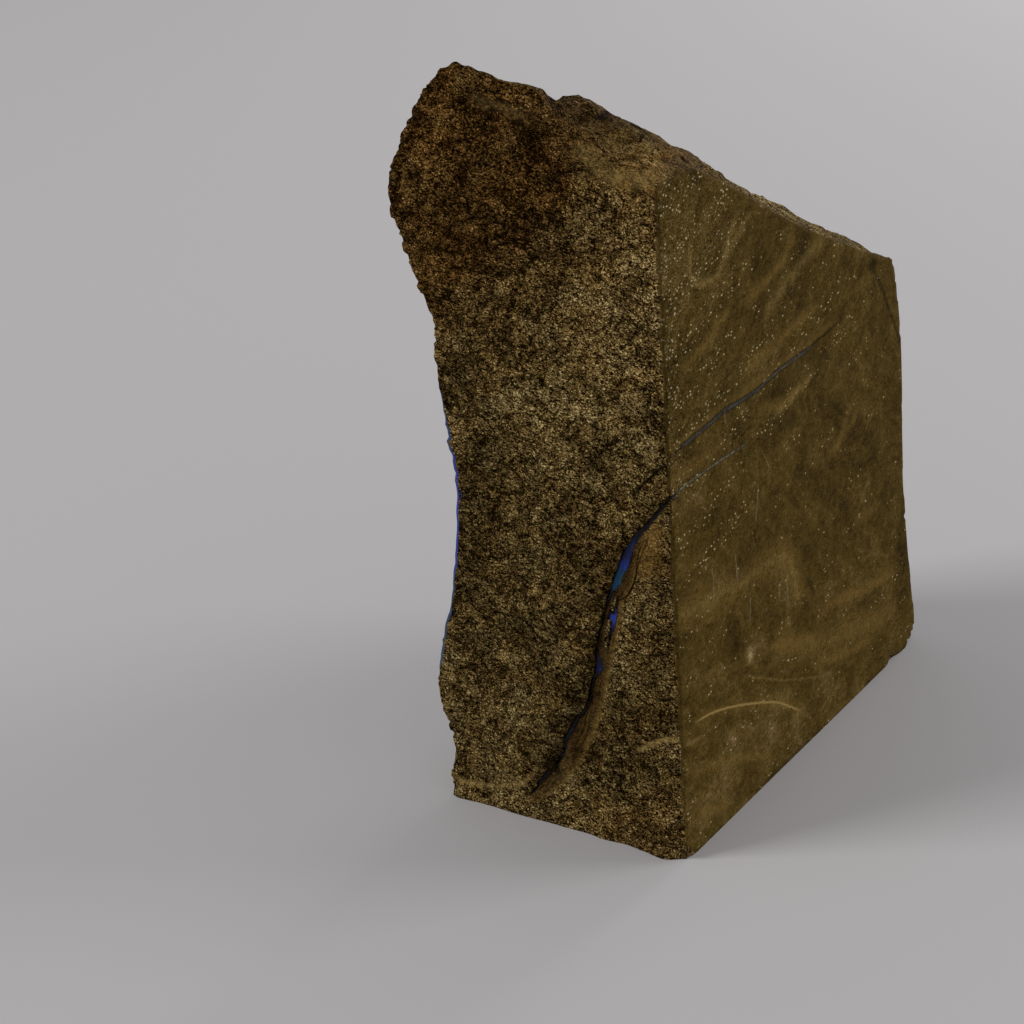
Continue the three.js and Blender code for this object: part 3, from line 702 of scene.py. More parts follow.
def ironstone_material(s):
    """Brown ironstone: broken grainy rock, one sawn face with golden lines, and tan weathered skin."""
    material, n, shader = new_material("Ironstone")
    place = n.group(block_place_group())["Place"]
    sawn = n.attribute("sawn")
    tone = n.attribute("tone")
    warmth = n.attribute("warmth")
    sparkle = n.attribute("sparkle")
    seam_distance, seam_strength, seam_half = n.parts(n.attribute("seam", "Vector"))

    # One slow bend and one ragged wander are shared by every pattern below
    bend = n.vector("SUBTRACT", n.noise(place, 6.0, 1.0, 0.5, output="Color"), (0.5, 0.5, 0.5))
    flow = n.vector("MULTIPLY_ADD", bend, (6.0, 6.0, 6.0), place)
    wander = n.math("SUBTRACT", n.noise(place, 1.3, 2.0, 0.6), 0.5)

    def line(name, half, soft=0.15, ragged=0.3):
        """The mask and the distance of one drawn line."""
        field = n.attribute(name, "Vector")
        return n.group(line_group(), Field=field, Wander=wander, Half_Width=half, Softness=soft,
                       Raggedness=ragged)

    # Grain runs slanting down across the broken rock, and slanting up to the back on the sawn side
    front_run = n.turned(flow, (0.0, 24.0, 0.0), (1.7, 1.0, 1.0))
    front_grain = n.turned(place, (0.0, 12.0, 0.0), (1.5, 1.0, 1.0))
    sawn_grain = n.turned(place, (14.0, 0.0, 0.0), (1.0, 1.6, 1.0))
    grain_place = n.mix_vector(sawn, front_grain, sawn_grain)
    grain = n.group(grain_group(), Place=grain_place, Grain_Size=0.2, Knob_Size=0.7)
    fine = grain["Grain"]
    knobs = grain["Knobs"]

    # Broken rock: creases, blotches and clouds under the grain
    fold = n.math("ABSOLUTE", n.math("SUBTRACT", n.noise(front_run, 1.9, 3.0, 0.62), 0.5))
    crease = n.step(fold, 0.035, 0.0)
    clouds = n.noise(place, 8.0, 2.0, 0.6)
    blotch = n.noise(n.turned(flow, (0.0, 16.0, 0.0), (2.4, 1.0, 1.0)), 3.4, 3.0, 0.6)
    painted_long_fold_shade = n.step(n.math("ABSOLUTE", n.math("SUBTRACT", blotch, 0.5)), 0.03, 0.0)
    band_side = n.step(line("band_edge", 0.2, 0.1, 0.7)["Distance"], 0.5, -0.4)
    band = n.product(n.step(seam_distance, -0.1, 0.3), band_side, n.attribute("band"))
    calm = n.product(n.step(band, 0.0, 1.0, 1.0, 0.75), n.step(n.attribute("worn"), 0.0, 1.0, 1.0, 0.6))
    grit = n.product(n.total(n.centred(fine, 1.95), n.centred(knobs, 0.12)), calm)
    # The creases, the long folds and the relief's crease attribute darken the rock as painted shade in its
    # hollows
    level = n.total(
        tone, n.centred(clouds, 0.4), n.centred(blotch, 0.36), n.product(crease, -0.16),
        n.product(painted_long_fold_shade, -0.32), n.product(n.attribute("crease"), -0.2), grit,
    )
    # The ramp's brightest grains are pale sand grains and painted glints at once
    broken = n.ramp(level, [
        (0.0, [c * 0.45 for c in s.dark]), (0.2, s.dark), (0.5, s.brown), (0.78, s.tan), (1.0, s.grain),
    ])
    broken = n.mix(warmth, broken, n.mix(1.0, broken, s.rust, "MULTIPLY"))
    hue = n.mix(n.step(n.noise(flow, 5.0, 2.0, 0.6), 0.36, 0.64), (0.98, 1.0, 0.93), (1.04, 0.98, 0.80))
    broken = n.mix(1.0, broken, hue, "MULTIPLY")

    # Sawn rock: slanting clouds and streaks, with pale grains scattered along them, which serve as painted
    # glints too
    rising = n.step(n.parts(place)[2], 22.0, 62.0)
    low_lie = n.turned(flow, (-15.0, 0.0, 0.0), (1.0, 3.2, 1.0))
    lie = n.mix_vector(rising, low_lie, n.turned(flow, (24.0, 0.0, 0.0), (1.0, 2.8, 1.0)))
    drift = n.noise(lie, 2.4, 3.0, 0.6)
    streaks = n.noise(lie, 0.75, 2.0, 0.6)
    flat_level = n.total(
        tone, n.centred(clouds, 0.45), n.centred(drift, 0.62), n.centred(streaks, 0.3),
        n.product(n.centred(fine, 1.2), n.step(sparkle, 0.0, 0.8, 0.5, 1.0)), n.centred(knobs, 0.35),
    )
    cut = n.ramp(flat_level, [
        (0.0, [c * 0.4 for c in s.sawn_dark]), (0.25, s.sawn_dark), (0.55, s.sawn_gold), (0.9, s.tan),
        (1.0, s.grain),
    ])
    speck = n.cells(n.turned(place, (0.0, 0.0, 0.0), (1.0, 1.8, 1.0)), 0.5)
    chance, shine, _ = n.parts(speck["Color"])
    chance = n.total(chance, n.product(sparkle, 0.75), n.centred(streaks, 0.7), n.centred(clouds, 0.4))
    # Pale grains that are painted glints as well, thickest where the sparkle attribute is high
    grain_and_painted_glint_dots = n.product(
        n.step(speck["Distance"], 0.34, 0.16), n.step(chance, 0.87, 0.94),
        n.step(shine, 0.1, 0.9, 0.3, 1.0),
    )
    cut = n.mix(grain_and_painted_glint_dots, cut, n.mix(n.attribute("green"), s.grain, s.green_grain))

    break_up = n.step(n.total(wander, 0.5), 0.36, 0.6, 0.55, 1.0)
    specked = n.step(fine, 0.3, 0.6, 0.45, 1.0)
    patchy = n.product(break_up, specked)

    def stroke(base, name, shade, half, soft, amount, ragged=0.3, broken_up=True):
        """A colour with one drawn line painted over it."""
        mask = n.product(line(name, half, soft, ragged)["Mask"], amount)
        if broken_up:
            mask = n.product(mask, patchy)
        return n.mix(mask, base, tuple(shade))

    vein = line("vein", 0.9, 0.5, 0.5)
    off_vein = vein["Distance"]
    under = n.product(
        n.step(off_vein, -6.5, -0.5), n.step(off_vein, 0.4, 0.0), n.attribute("under_vein"), 0.7,
    )
    cut = n.mix(under, cut, s.sawn_dark)
    vein_strength = n.parts(n.attribute("vein", "Vector"))[1]
    over = n.product(n.step(off_vein, 2.4, 0.7), n.step(off_vein, 0.1, 0.7), vein_strength, 0.3)
    cut = n.mix(over, cut, s.gold)
    cut = stroke(cut, "vein", s.dark, 0.16, 0.14, 0.8, 0.35, False)
    cut = stroke(cut, "vein_core", s.dark, 0.44, 0.2, 0.75, 0.6, False)
    cut = stroke(cut, "vein_core", s.vein_grey, 0.22, 0.14, 1.0, 0.6)
    for name, shade, half, soft, amount, ragged in (
        ("lens", s.gold, 1.0, 0.9, 0.6, 0.8), ("streak", s.pale_gold, 0.6, 0.6, 0.5, 0.9),
        ("cup", s.pale_gold, 0.5, 0.5, 0.5, 0.7), ("top_streak", s.pale_gold, 0.6, 0.6, 0.4, 1.0),
        ("mid_streak", s.pale_gold, 0.9, 0.9, 0.35, 1.2), ("far_streak", s.gold, 0.8, 0.8, 0.5, 1.0),
        ("hook", s.pale_gold, 0.14, 0.08, 0.7, 0.1), ("wave", s.gold, 2.2, 2.1, 0.7, 2.4),
        ("wave", s.pale_gold, 0.5, 0.5, 0.22, 1.6), ("low_band", s.gold, 1.9, 1.8, 0.7, 1.6),
        ("hair", s.pale_gold, 0.2, 0.2, 0.3, 0.5), ("arc", s.gold, 0.9, 0.9, 0.6, 0.4),
        ("scratches", s.pale_grey, 0.18, 0.16, 0.45, 0.4), ("low_streaks", s.gold, 0.7, 0.7, 0.8, 0.9),
        ("high_streaks", s.gold, 0.8, 0.8, 0.7, 1.0),
        ("short_arc", s.pale_gold, 0.3, 0.3, 0.5, 0.3), ("curl", s.pale_gold, 0.16, 0.12, 0.55, 0.2),
        ("low_dash", s.gold, 0.8, 0.8, 0.5, 0.8), ("far_band", s.gold, 1.2, 1.2, 0.5, 1.2),
    ):
        cut = stroke(cut, name, shade, half, soft, amount, ragged)
    cut = stroke(cut, "arc", s.pale_gold, 0.17, 0.14, 0.85, 0.25, False)
    cut = stroke(cut, "corner_line", s.dark, 0.45, 0.4, 0.6, 0.4, False)

    # The lines of the broken front
    across, _, along = n.parts(n.attribute("band_edge", "Vector"))
    strip = n.add("ShaderNodeCombineXYZ")
    n.put(strip, 0, n.product(across, 2.6))
    n.put(strip, 1, n.product(along, 0.32))
    ribs = n.noise(strip.outputs[0], 1.0, 2.0, 0.6)
    band_shade = n.mix(n.step(ribs, 0.4, 0.62), s.band_dark, s.band)
    broken = n.mix(n.product(band, 0.72), broken, band_shade)
    for name, shade, half, soft, amount, ragged in (
        ("band_edge", s.gold, 0.35, 0.35, 0.6, 0.6), ("gold_right", s.pale_gold, 0.36, 0.34, 0.9, 0.9),
        ("gold_left", s.pale_gold, 0.36, 0.34, 0.85, 1.1), ("bevel_edge", s.pale_gold, 0.9, 0.8, 0.45, 1.0),
        ("ledge", s.pale_gold, 0.9, 0.8, 0.3, 0.8), ("upper_gold", s.amber, 1.3, 1.2, 0.72, 1.6),
    ):
        broken = stroke(broken, name, shade, half, soft, amount, ragged)
    # Thin dark cracks: painted shade in cracks that the mesh does not open
    for name, half in (
        ("loop_crack", 0.17), ("short_crack", 0.2), ("upper_crack", 0.22), ("second_crack", 0.16),
        ("band_crack", 0.12),
    ):
        broken = stroke(broken, name, [c * 0.3 for c in s.dark], half, 0.12, 0.85, 0.25, False)

    shade = n.mix(sawn, broken, cut)
    # Painted shadow along the fissure's edges: the rock next to the opal is darkened, much less on the sawn
    # side
    rim = n.math("SUBTRACT", n.math("ABSOLUTE", seam_distance), seam_half)
    rim = n.product(n.step(rim, 0.4, 0.0), seam_strength, 0.75, n.step(sawn, 0.0, 1.0, 1.0, 0.12))
    shade = n.mix(rim, shade, tuple(c * 0.4 for c in s.dark))
    n.put(shader, "Base Color", shade)

    height = n.total(
        n.centred(fine, 0.11), n.centred(knobs, 0.12), n.product(crease, -0.05),
        n.product(n.math("SUBTRACT", n.step(fold, 0.0, 0.2), 0.7), 0.14),
    )
    height = n.total(n.product(height, calm), n.product(n.centred(ribs, 0.25), band))
    flat_height = n.total(n.centred(fine, 0.022), n.centred(knobs, 0.02))
    height = n.total(n.product(height, n.math("SUBTRACT", 1.0, sawn)), n.product(flat_height, sawn))
    n.bump(shader, height, 1.0)
    n.put(shader, "Roughness", n.step(fine, 0.45, 0.8, 0.75, 0.5))
    n.put(shader, "IOR", 1.5)
    n.put(shader, "Specular IOR Level", 0.02)
    n.put(shader, "Specular Tint", (1.0, 0.82, 0.55))
    return material


def seam_material(s):
    """Dark opal in the fissure, blue, teal and violet by height."""
    material, n, shader = new_material("Seam Opal")
    place = n.group(block_place_group())["Place"]
    height = n.parts(place)[2]
    on_sawn = n.attribute("sawn_part")
    wander = n.centred(n.noise(place, 2.0, 2.0, 0.5), 2.0)
    level = n.total(height, wander)
    play = play_of_colour(n, s, place, 1.3, 1.0)

    def between(low, high, soft):
        """1 between two heights and 0 outside them."""
        return n.product(n.step(level, low - soft, low + soft), n.step(level, high + soft, high - soft))

    # The short second opening is violet below and blue above
    side = n.step(n.parts(place)[0], -14.35, -14.05)
    side = n.product(side, between(30.0, 38.2, 0.4))
    main = n.math("SUBTRACT", 1.0, side)
    tint = n.mix(0.45, play, s.body)
    tint = n.mix(n.product(between(40.2, 43.6, 0.9), 0.85), tint, s.teal)
    tint = n.mix(n.product(between(43.8, 48.5, 0.9), 0.6), tint, s.blue)
    lit = between(39.3, 45.6, 0.9)
    for low, high, soft, amount in (
        (45.5, 49.0, 1.0, 0.35), (26.6, 29.0, 0.4, 0.6), (10.5, 17.0, 1.0, 0.35),
    ):
        lit = n.math("MAXIMUM", lit, n.product(between(low, high, soft), amount))
    lit = n.math("MAXIMUM", n.product(lit, main), n.product(side, between(32.6, 37.4, 0.8)))
    lit = n.math("MAXIMUM", lit, 0.05)
    tint = n.mix(side, tint, n.mix(n.step(level, 33.0, 35.0), s.violet, s.blue))
    colour = n.mix(lit, s.body, tint)
    crust = n.mix(n.step(n.noise(place, 0.5, 2.0, 0.6), 0.44, 0.56), s.crust_dark, s.crust)
    crust = n.mix(n.step(n.parts(place)[1], 1.0, 3.2), s.body, crust)
    colour = n.mix(on_sawn, colour, crust)
    n.put(shader, "Base Color", colour)
    n.bump(shader, n.product(n.noise(place, 0.7, 3.0, 0.55), 0.1), 0.8)
    n.put(shader, "Roughness", n.step(on_sawn, 0.0, 1.0, 0.2, 0.6))
    n.put(shader, "IOR", 1.45)
    n.put(shader, "Specular IOR Level", 0.2)
    return material


def skin_material(s, rock):
    """The opal layer on the split side: glossy colour between patches of potch and ironstone."""
    material, n, shader = new_material("Skin Opal")
    place = n.group(block_place_group())["Place"]
    play = play_of_colour(n, s, place, 1.9, 0.6)
    grain = n.group(grain_group(), Place=place, Grain_Size=0.17, Knob_Size=0.62)
    cover = n.noise(place, 8.0, 4.0, 0.62)
    rim = n.attribute("rim")
    rocky = n.step(n.math("SUBTRACT", cover, n.product(rim, 0.5)), 0.53, 0.58)
    inside = n.math("SUBTRACT", 1.0, rim)
    milky = n.product(n.step(n.noise(place, 6.0, 3.0, 0.55), 0.46, 0.64), inside, 0.5)
    clear = n.mix(milky, play, s.potch)
    up = n.parts(place)[2]
    lower = n.step(up, 31.0, 25.0)
    clear = n.mix(n.product(lower, 0.5), clear, s.potch)
    bright = n.product(n.step(up, 60.0, 52.0), n.step(up, 34.0, 42.0))
    edge = n.mix(bright, s.rim_teal, s.rim_blue)
    clear = n.mix(n.product(rim, n.step(up, 24.0, 30.0, 0.2, 0.75)), clear, edge)
    rock_tone = n.mix(n.step(n.noise(place, 2.2, 3.0, 0.6), 0.35, 0.65), rock.dark, rock.brown)
    rock_tone = n.vector("SCALE", rock_tone, scale=n.step(grain["Grain"], 0.35, 0.65, 0.4, 1.9))
    n.put(shader, "Base Color", n.mix(rocky, clear, rock_tone))
    n.put(shader, "Roughness", n.step(rocky, 0.0, 1.0, 0.14, 0.62))
    ripple = n.product(n.noise(place, 1.5, 3.0, 0.5), 0.18)
    crust = n.product(rocky, n.total(0.25, n.product(grain["Knobs"], 0.2)))
    n.bump(shader, n.total(ripple, crust), 0.9)
    n.put(shader, "IOR", 1.45)
    return material


# Settings


def length(name, text, default):
    """A setting in metres."""
    return bpy.props.FloatProperty(name=name, description=text, default=default, unit="LENGTH", precision=5)


def power(name, text, default):
    """A setting in watts."""
    return bpy.props.FloatProperty(name=name, description=text, default=default, unit="POWER")


def colour(name, text, default):
    """A setting with a colour in it."""
    return bpy.props.FloatVectorProperty(
        name=name, description=text, default=default, size=3, subtype="COLOR", min=0.0, max=1.0,
    )


class BlockSettings(bpy.types.PropertyGroup):
    """Settings of the ironstone block"""

    mesh_step: length("Mesh Step", "Spacing of the block's mesh before the front is refined", 0.00083)
    lump_size: length("Lump Size", "Width of the lumps on the broken rock", 0.0042)
    lump_depth: length("Lump Depth", "Depth of the hollows between the lumps", 0.0007)
    grit_size: length("Grit Size", "Width of the small knobs on the broken rock", 0.0013)
    grit_depth: length("Grit Depth", "Depth of the pits between the small knobs", 0.0002)
    crease_size: length("Crease Size", "Width of the rock between its wandering creases", 0.0042)
    crease_depth: length("Crease Depth", "Depth of the wandering creases", 0.00032)
    # Dark rock, made darker still, also paints the shade in thin cracks and the shadow beside the fissure
    dark: colour("Dark Rock", "Red-brown rock in the dark zones and cracks", (0.0165, 0.0082, 0.0022))
    brown: colour("Brown Rock", "Most of the broken rock", (0.104, 0.067, 0.0235))
    tan: colour("Tan Rock", "Weathered skin and bevels", (0.270, 0.185, 0.072))
    rust: colour("Rust Tint", "Tint that warms the upper rock", (1.0, 0.81, 0.66))
    # The bright and the grey-green grain are also the colours of the painted glints
    grain: colour("Bright Grain", "Sand grains that catch the light", (0.70, 0.56, 0.29))
    green_grain: colour("Grey-Green Grain", "Grains beside the sawn edge", (0.46, 0.50, 0.38))
    band: colour("Smooth Band", "Smooth brown rock beside the fissure", (0.082, 0.043, 0.011))
    band_dark: colour("Smooth Band, Dark", "Darker parts of the smooth band", (0.020, 0.0095, 0.003))
    sawn_dark: colour("Sawn Dark", "Darker clouds on the sawn side", (0.047, 0.0285, 0.0052))
    sawn_gold: colour("Sawn Gold", "Lighter clouds on the sawn side", (0.118, 0.074, 0.0145))
    amber: colour("Amber", "Orange-brown rock beside the fissure", (0.23, 0.125, 0.028))
    gold: colour("Gold", "Golden bands and lines", (0.22, 0.135, 0.034))
    pale_gold: colour("Pale Gold", "The palest thin lines", (0.40, 0.27, 0.09))
    pale_grey: colour("Pale Grey", "Scratches on the sawn side", (0.34, 0.29, 0.20))
    vein_grey: colour("Vein Grey", "Grey core of the upper vein", (0.080, 0.088, 0.080))


class OpalSettings(bpy.types.PropertyGroup):
    """Settings of the opal in the fissure and on the split side"""

    seam_below: length("Seam Below", "How far the widest opal lies below the broken surface", 0.00022)
    seam_depth: length("Seam Depth", "How deep the fissure's opal goes", 0.0022)
    skin_step: length("Skin Mesh Step", "Spacing of the opal layer's mesh", 0.0006)
    body: colour("Body", "Dark body of the opal", (0.006, 0.006, 0.009))
    blue: colour("Blue", "Blue play of colour", (0.018, 0.045, 0.30))
    teal: colour("Teal", "Teal play of colour", (0.012, 0.085, 0.17))
    violet: colour("Violet", "Violet play of colour", (0.045, 0.015, 0.28))
    rim_blue: colour("Rim Blue", "Bright blue of the layer's front edge", (0.022, 0.045, 0.38))
    rim_teal: colour("Rim Teal", "Darker blue-green ends of the layer's edge", (0.012, 0.05, 0.13))
    potch: colour("Potch", "Milky grey opal without play of colour", (0.095, 0.105, 0.120))
    crust: colour("Crust", "Pale crust in the thin end of the fissure", (0.20, 0.18, 0.125))
    crust_dark: colour("Crust, Dark", "Darker gaps in the pale crust", (0.035, 0.028, 0.014))


class StageSettings(bpy.types.PropertyGroup):
    """Settings of the floor, the surround and the lights"""

    floor: colour("Floor", "The pale floor", (0.51, 0.495, 0.495))
    world: colour("Surround", "The pale surround", (0.35, 0.35, 0.36))
    key: power("Key Light", "Power of the large soft light", 11.0)
    key_size: length("Key Size", "Width of the large soft light", 0.5)
    back: power("Back Light", "Power of the soft light behind the sawn side", 7.0)
    back_size: length("Back Size", "Width of the soft light behind", 0.7)
    backdrop: power("Backdrop Light", "Power of the small light over the far floor", 2.2)
    backdrop_size: length("Backdrop Size", "Width of the small light over the far floor", 0.3)


# Pieces


def filled_block():
    """The CAD block with its grooves filled, so that the rock can be given a finer surface."""
    bm = merged_copy("ironstone")
    for name in ("opal_seam", "opal_skin"):
        part = merged_copy(name)
        co = block_mm([v.co for v in part.verts])
        away = np.array([v.normal for v in part.verts])
        if name == "opal_seam":
            away[:, 1] = np.where(co[:, 1] < 3.5, np.maximum(away[:, 1], 0.0), away[:, 1])
            near_cut = above_sawn(co) > -0.2
            away[:, 0] = np.where(near_cut, np.minimum(away[:, 0], 0.0), away[:, 0])
        else:
            away[:, 0] = np.maximum(away[:, 0], 0.0)
            away[:, 1] = np.where(co[:, 1] < 2.0, np.maximum(away[:, 1], 0.0), away[:, 1])
        co = frame_m(co + away * GROOVE_FILL)
        for vert, place in zip(part.verts, co):
            vert.co = place
        mesh = bpy.data.meshes.new("filler")
        part.to_mesh(mesh)
        part.free()
        bm.from_mesh(mesh)
        bpy.data.meshes.remove(mesh)
    mesh = bpy.data.meshes.new("filled")
    bm.to_mesh(mesh)
    bm.free()
    return mesh


def cad_surface():
    """A search tree over the outsides of all three CAD pieces."""
    corners, faces = [], []
    for name in ("ironstone", "opal_seam", "opal_skin"):
        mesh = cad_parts[name].data
        start = len(corners)
        corners += [tuple(v.co) for v in mesh.vertices]
        faces += [tuple(start + i for i in f.vertices) for f in mesh.polygons]
    return BVHTree.FromPolygons(corners, faces)


def crisp(bm, reach=0.0003):
    """Brings back the corners that an even mesh rounds off."""
    tree = cad_surface()
    for vert in bm.verts:
        place, _, _, _ = tree.find_nearest(vert.co + vert.normal * reach)
        vert.co = place


def refine(bm, wanted):
    """Splits the faces whose corners are all wanted into four."""
    bm.verts.index_update()
    edges = [e for e in bm.edges if wanted[e.verts[0].index] and wanted[e.verts[1].index]]
    bmesh.ops.subdivide_edges(bm, edges=edges, cuts=1, use_grid_fill=True)


def seam_gap(p):
    """Distance to the nearest opening's centre line, its half width and its strength, for every place."""
    gap = np.full(len(p), 60.0)
    half = np.full(len(p), 0.2)
    strength = np.zeros(len(p))
    on_sawn = above_sawn(p) > ON_SAWN
    for side, points in SEAMS:
        if side == "front":
            here, columns = ~on_sawn & (p[:, 1] < FRONT_REACH), (0, 2)
        else:
            here, columns = on_sawn & (p[:, 1] < 40.0), (1, 2)
        distance, along, total, line = line_field(p[here][:, columns], points)
        power = smooth(-0.6, 0.0, along) * smooth(0.0, SEAM_LENGTH_FADE, total - along)
        power *= np.abs(distance) < 20
        nearer = np.abs(distance) - line[:, 2] + 40.0 * (power <= 0.0) < np.abs(gap[here]) - half[here]
        gap[here] = np.where(nearer, distance, gap[here])
        half[here] = np.where(nearer, line[:, 2], half[here])
        strength[here] = np.where(nearer, power, strength[here])
    return gap, half, strength


def relief_tree():
    """Geometry Nodes that wear the broken rock into lumps, grit and creases, where its mask allows."""
    tree = bpy.data.node_groups.new("Broken rock relief", "GeometryNodeTree")
    face = tree.interface
    face.new_socket("Geometry", in_out="OUTPUT", socket_type="NodeSocketGeometry")
    face.new_socket("Geometry", in_out="INPUT", socket_type="NodeSocketGeometry")
    for label in ("Lump Size", "Lump Depth", "Grit Size", "Grit Depth", "Crease Size", "Crease Depth"):
        face.new_socket(label, in_out="INPUT", socket_type="NodeSocketFloat")
    face.new_socket("Seed", in_out="INPUT", socket_type="NodeSocketFloat")
    face.new_socket("Material", in_out="INPUT", socket_type="NodeSocketMaterial")
    n = Nodes(tree)
    g = n.add("NodeGroupInput").outputs
    out = n.add("NodeGroupOutput")
    where = n.add("GeometryNodeInputPosition").outputs[0]
    normal = n.add("GeometryNodeInputNormal").outputs[0]
    mask = n.add("GeometryNodeInputNamedAttribute", data_type="FLOAT")
    mask.inputs["Name"].default_value = "relief"

    def rough(size, detail, shift):
        """Noise whose features are about the given size across."""
        noise = n.add("ShaderNodeTexNoise", noise_dimensions="4D", normalize=True)
        n.put(noise, "Vector", where)
        n.put(noise, "W", n.total(g["Seed"], shift))
        n.put(noise, "Scale", n.math("DIVIDE", 1.0, size))
        n.put(noise, "Detail", detail)
        n.put(noise, "Roughness", 0.55)
        return noise.outputs[0]

    def height(value, depth):
        """How far a 0 to 1 noise moves the rock out or in."""
        return n.product(n.math("SUBTRACT", value, RELIEF_LEVEL), n.product(depth, 2.0))

    lumps = height(rough(g["Lump Size"], 4.0, 0.0), g["Lump Depth"])
    grit = height(rough(g["Grit Size"], 2.0, 3.7), g["Grit Depth"])
    fold = n.math("ABSOLUTE", n.math("SUBTRACT", rough(g["Crease Size"], 3.0, 8.2), 0.5))
    crease = n.product(n.step(fold, 0.05, 0.0), mask.outputs["Attribute"])
    total = n.product(n.total(lumps, grit), mask.outputs["Attribute"])
    total = n.math("SUBTRACT", total, n.product(crease, g["Crease Depth"]))
    # The crease mask is kept as an attribute, which the rock's colour darkens as painted shade
    mark = n.add("GeometryNodeStoreNamedAttribute", data_type="FLOAT", domain="POINT")
    n.put(mark, "Geometry", g["Geometry"])
    mark.inputs["Name"].default_value = "crease"
    n.put(mark, "Value", crease)
    move = n.add("GeometryNodeSetPosition")
    n.put(move, "Geometry", mark.outputs[0])
    n.put(move, "Offset", n.vector("SCALE", normal, scale=total))
    real = n.add("GeometryNodeRealizeInstances")
    n.put(real, "Geometry", move.outputs[0])
    paint = n.add("GeometryNodeSetMaterial")
    n.put(paint, "Geometry", real.outputs[0])
    n.put(paint, "Material", g["Material"])
    n.put(out, "Geometry", paint.outputs[0])
    return tree


def set_inputs(modifier, tree, values):
    """Sets a Geometry Nodes modifier's inputs by the names of their sockets."""
    for item in tree.interface.items_tree:
        if item.item_type == "SOCKET" and item.in_out == "INPUT" and item.name in values:
            modifier[item.identifier] = values[item.name]


def stained(flat, rows):
    """The sum of some soft stains at every place of one face."""
    return sum(amount * spot(flat, middle, radii, turn) for amount, middle, radii, turn in rows)


def stains(p, n_rock):
    """Light and warm zones of the stone: tone, warmth, sparkle and the like for every vertex."""
    front, cut = p[:, (0, 2)], p[:, (1, 2)]
    on_sawn = above_sawn(p) > -0.15
    x, y, z = p.T

    # The broken front and the other broken sides
    upper = smooth(0.0, 9.0, z - np.interp(x, *zip(*UPPER_ROCK_FOOT)))
    # Rock facing up is made a little darker, painted shade against the light from above; it is also kept
    # less warm and more worn
    top = smooth(0.45, 0.85, n_rock[:, 2]) * (z > 50)
    tone = FRONT_TONE - 0.08 * upper + 0.08 * smooth(14, 0, z) - 0.02 * top + stained(front, FRONT_TONES)
    warmth = 0.9 * upper + 0.3 * smooth(60, 90, z) + stained(front, FRONT_WARMTH)
    warmth = np.where(on_sawn, warmth, warmth * (1 - 0.6 * top))
    sparkle = 0.25 + 0.4 * smooth(-3.0, 0.0, x) * (y < 6)
    green = 0.35 * smooth(-2.2, 0.0, above_sawn(p)) * smooth(55, 75, z) * (y < 6)
    worn = stained(front, FRONT_WEAR) + 0.4 * top

    # The sawn side
    cut_tone = SAWN_TONE + 0.07 * smooth(48, 8, z) + stained(cut, SAWN_TONES)
    # How thick the pale grains lie on the sawn side, which are painted glints as well
    cut_sparkle = -0.06 + 0.45 * smooth(36, 0, y) * smooth(40, 62, z) + 0.12 * smooth(6, 0, y)
    cut_sparkle += 0.5 * smooth(8, 0, y) * smooth(48, 66, z) + stained(cut, SAWN_SPARKLE)
    cut_green = 0.5 * smooth(5.0, 0.5, y) * smooth(58, 80, z) + stained(cut, SAWN_GREEN)
    return {
        "tone": np.where(on_sawn, cut_tone, tone), "warmth": np.clip(warmth, 0.0, 1.2),
        "sparkle": np.where(on_sawn, cut_sparkle, sparkle), "green": np.where(on_sawn, cut_green, green),
        "under_vein": stained(cut, UNDER_VEIN) * on_sawn, "worn": np.clip(worn, 0.0, 1.0),
    }


def layer_depth(y):
    """How thick the opal layer is at a depth into the block: thin at the front, where its edge shows."""
    return 0.38 + 0.57 * smooth(4.0, 10.0, y)


def even_block(mesh_step):
    """The filled block as an even, crisp mesh, finer on the front and finest beside the fissure."""

    def remesh(o):
        modifier = o.modifiers.new("Even mesh", "REMESH")
        modifier.mode = "VOXEL"
        modifier.voxel_size = mesh_step

    mesh = evaluated_mesh(filled_block(), remesh)
    bm = bmesh.new()
    bm.from_mesh(mesh)
    crisp(bm)
    for reach in FINER_REACHES:
        p = block_mm([v.co for v in bm.verts])
        n = np.array([v.normal for v in bm.verts])
        gap, half, strength = seam_gap(p)
        near = (np.abs(gap) < reach + half) & (strength > 0.0)
        front = (n[:, 1] < -0.35) & (p[:, 1] < FRONT_REACH)
        refine(bm, near | front if reach == FINER_REACHES[0] else near)
    bmesh.ops.triangulate(bm, faces=[f for f in bm.faces if len(f.verts) > 4])
    bm.to_mesh(mesh)
    bm.free()
    return mesh


def chip_edges(mesh):
    """Makes the sawn faces flat again and takes the chips out of the edges."""
    p = block_mm(coordinates(mesh))
    out = above_sawn(p)
    flat = (out > -0.3) & (p[:, 1] > -1.5)
    p[flat] -= out[flat, None] * SAWN_NORMAL
    p[p[:, 2] < 0.35, 2] = 0.0
    for centre, radius, step in CHIPS:
        away = np.linalg.norm(p - np.array(centre), axis=1)
        p += smooth(radius, 0.2 * radius, away)[:, None] * np.array(step)
    set_coordinates(mesh, frame_m(p))


def relief_mask(mesh):
    """How much broken relief each vertex takes: none on the sawn faces, little by the opal."""
    p = block_mm(coordinates(mesh))
    n = normals(mesh)
    mask = smooth(0.0, 1.6, -above_sawn(p)) * smooth(0.1, 2.5, p[:, 2])
    split = smooth(-0.2, -0.7, n[:, 0]) * (p[:, 0] < -30)
    mask *= 1.0 - 0.8 * split * smooth(-2.0, 1.5, border_distance(p[:, (1, 2)], SKIN_BORDER))
    gap, _, strength = seam_gap(p)
    return mask * (1.0 - 0.7 * smooth(-0.8, 0.2, gap) * smooth(3.6, 2.2, gap) * (strength > 0.0))


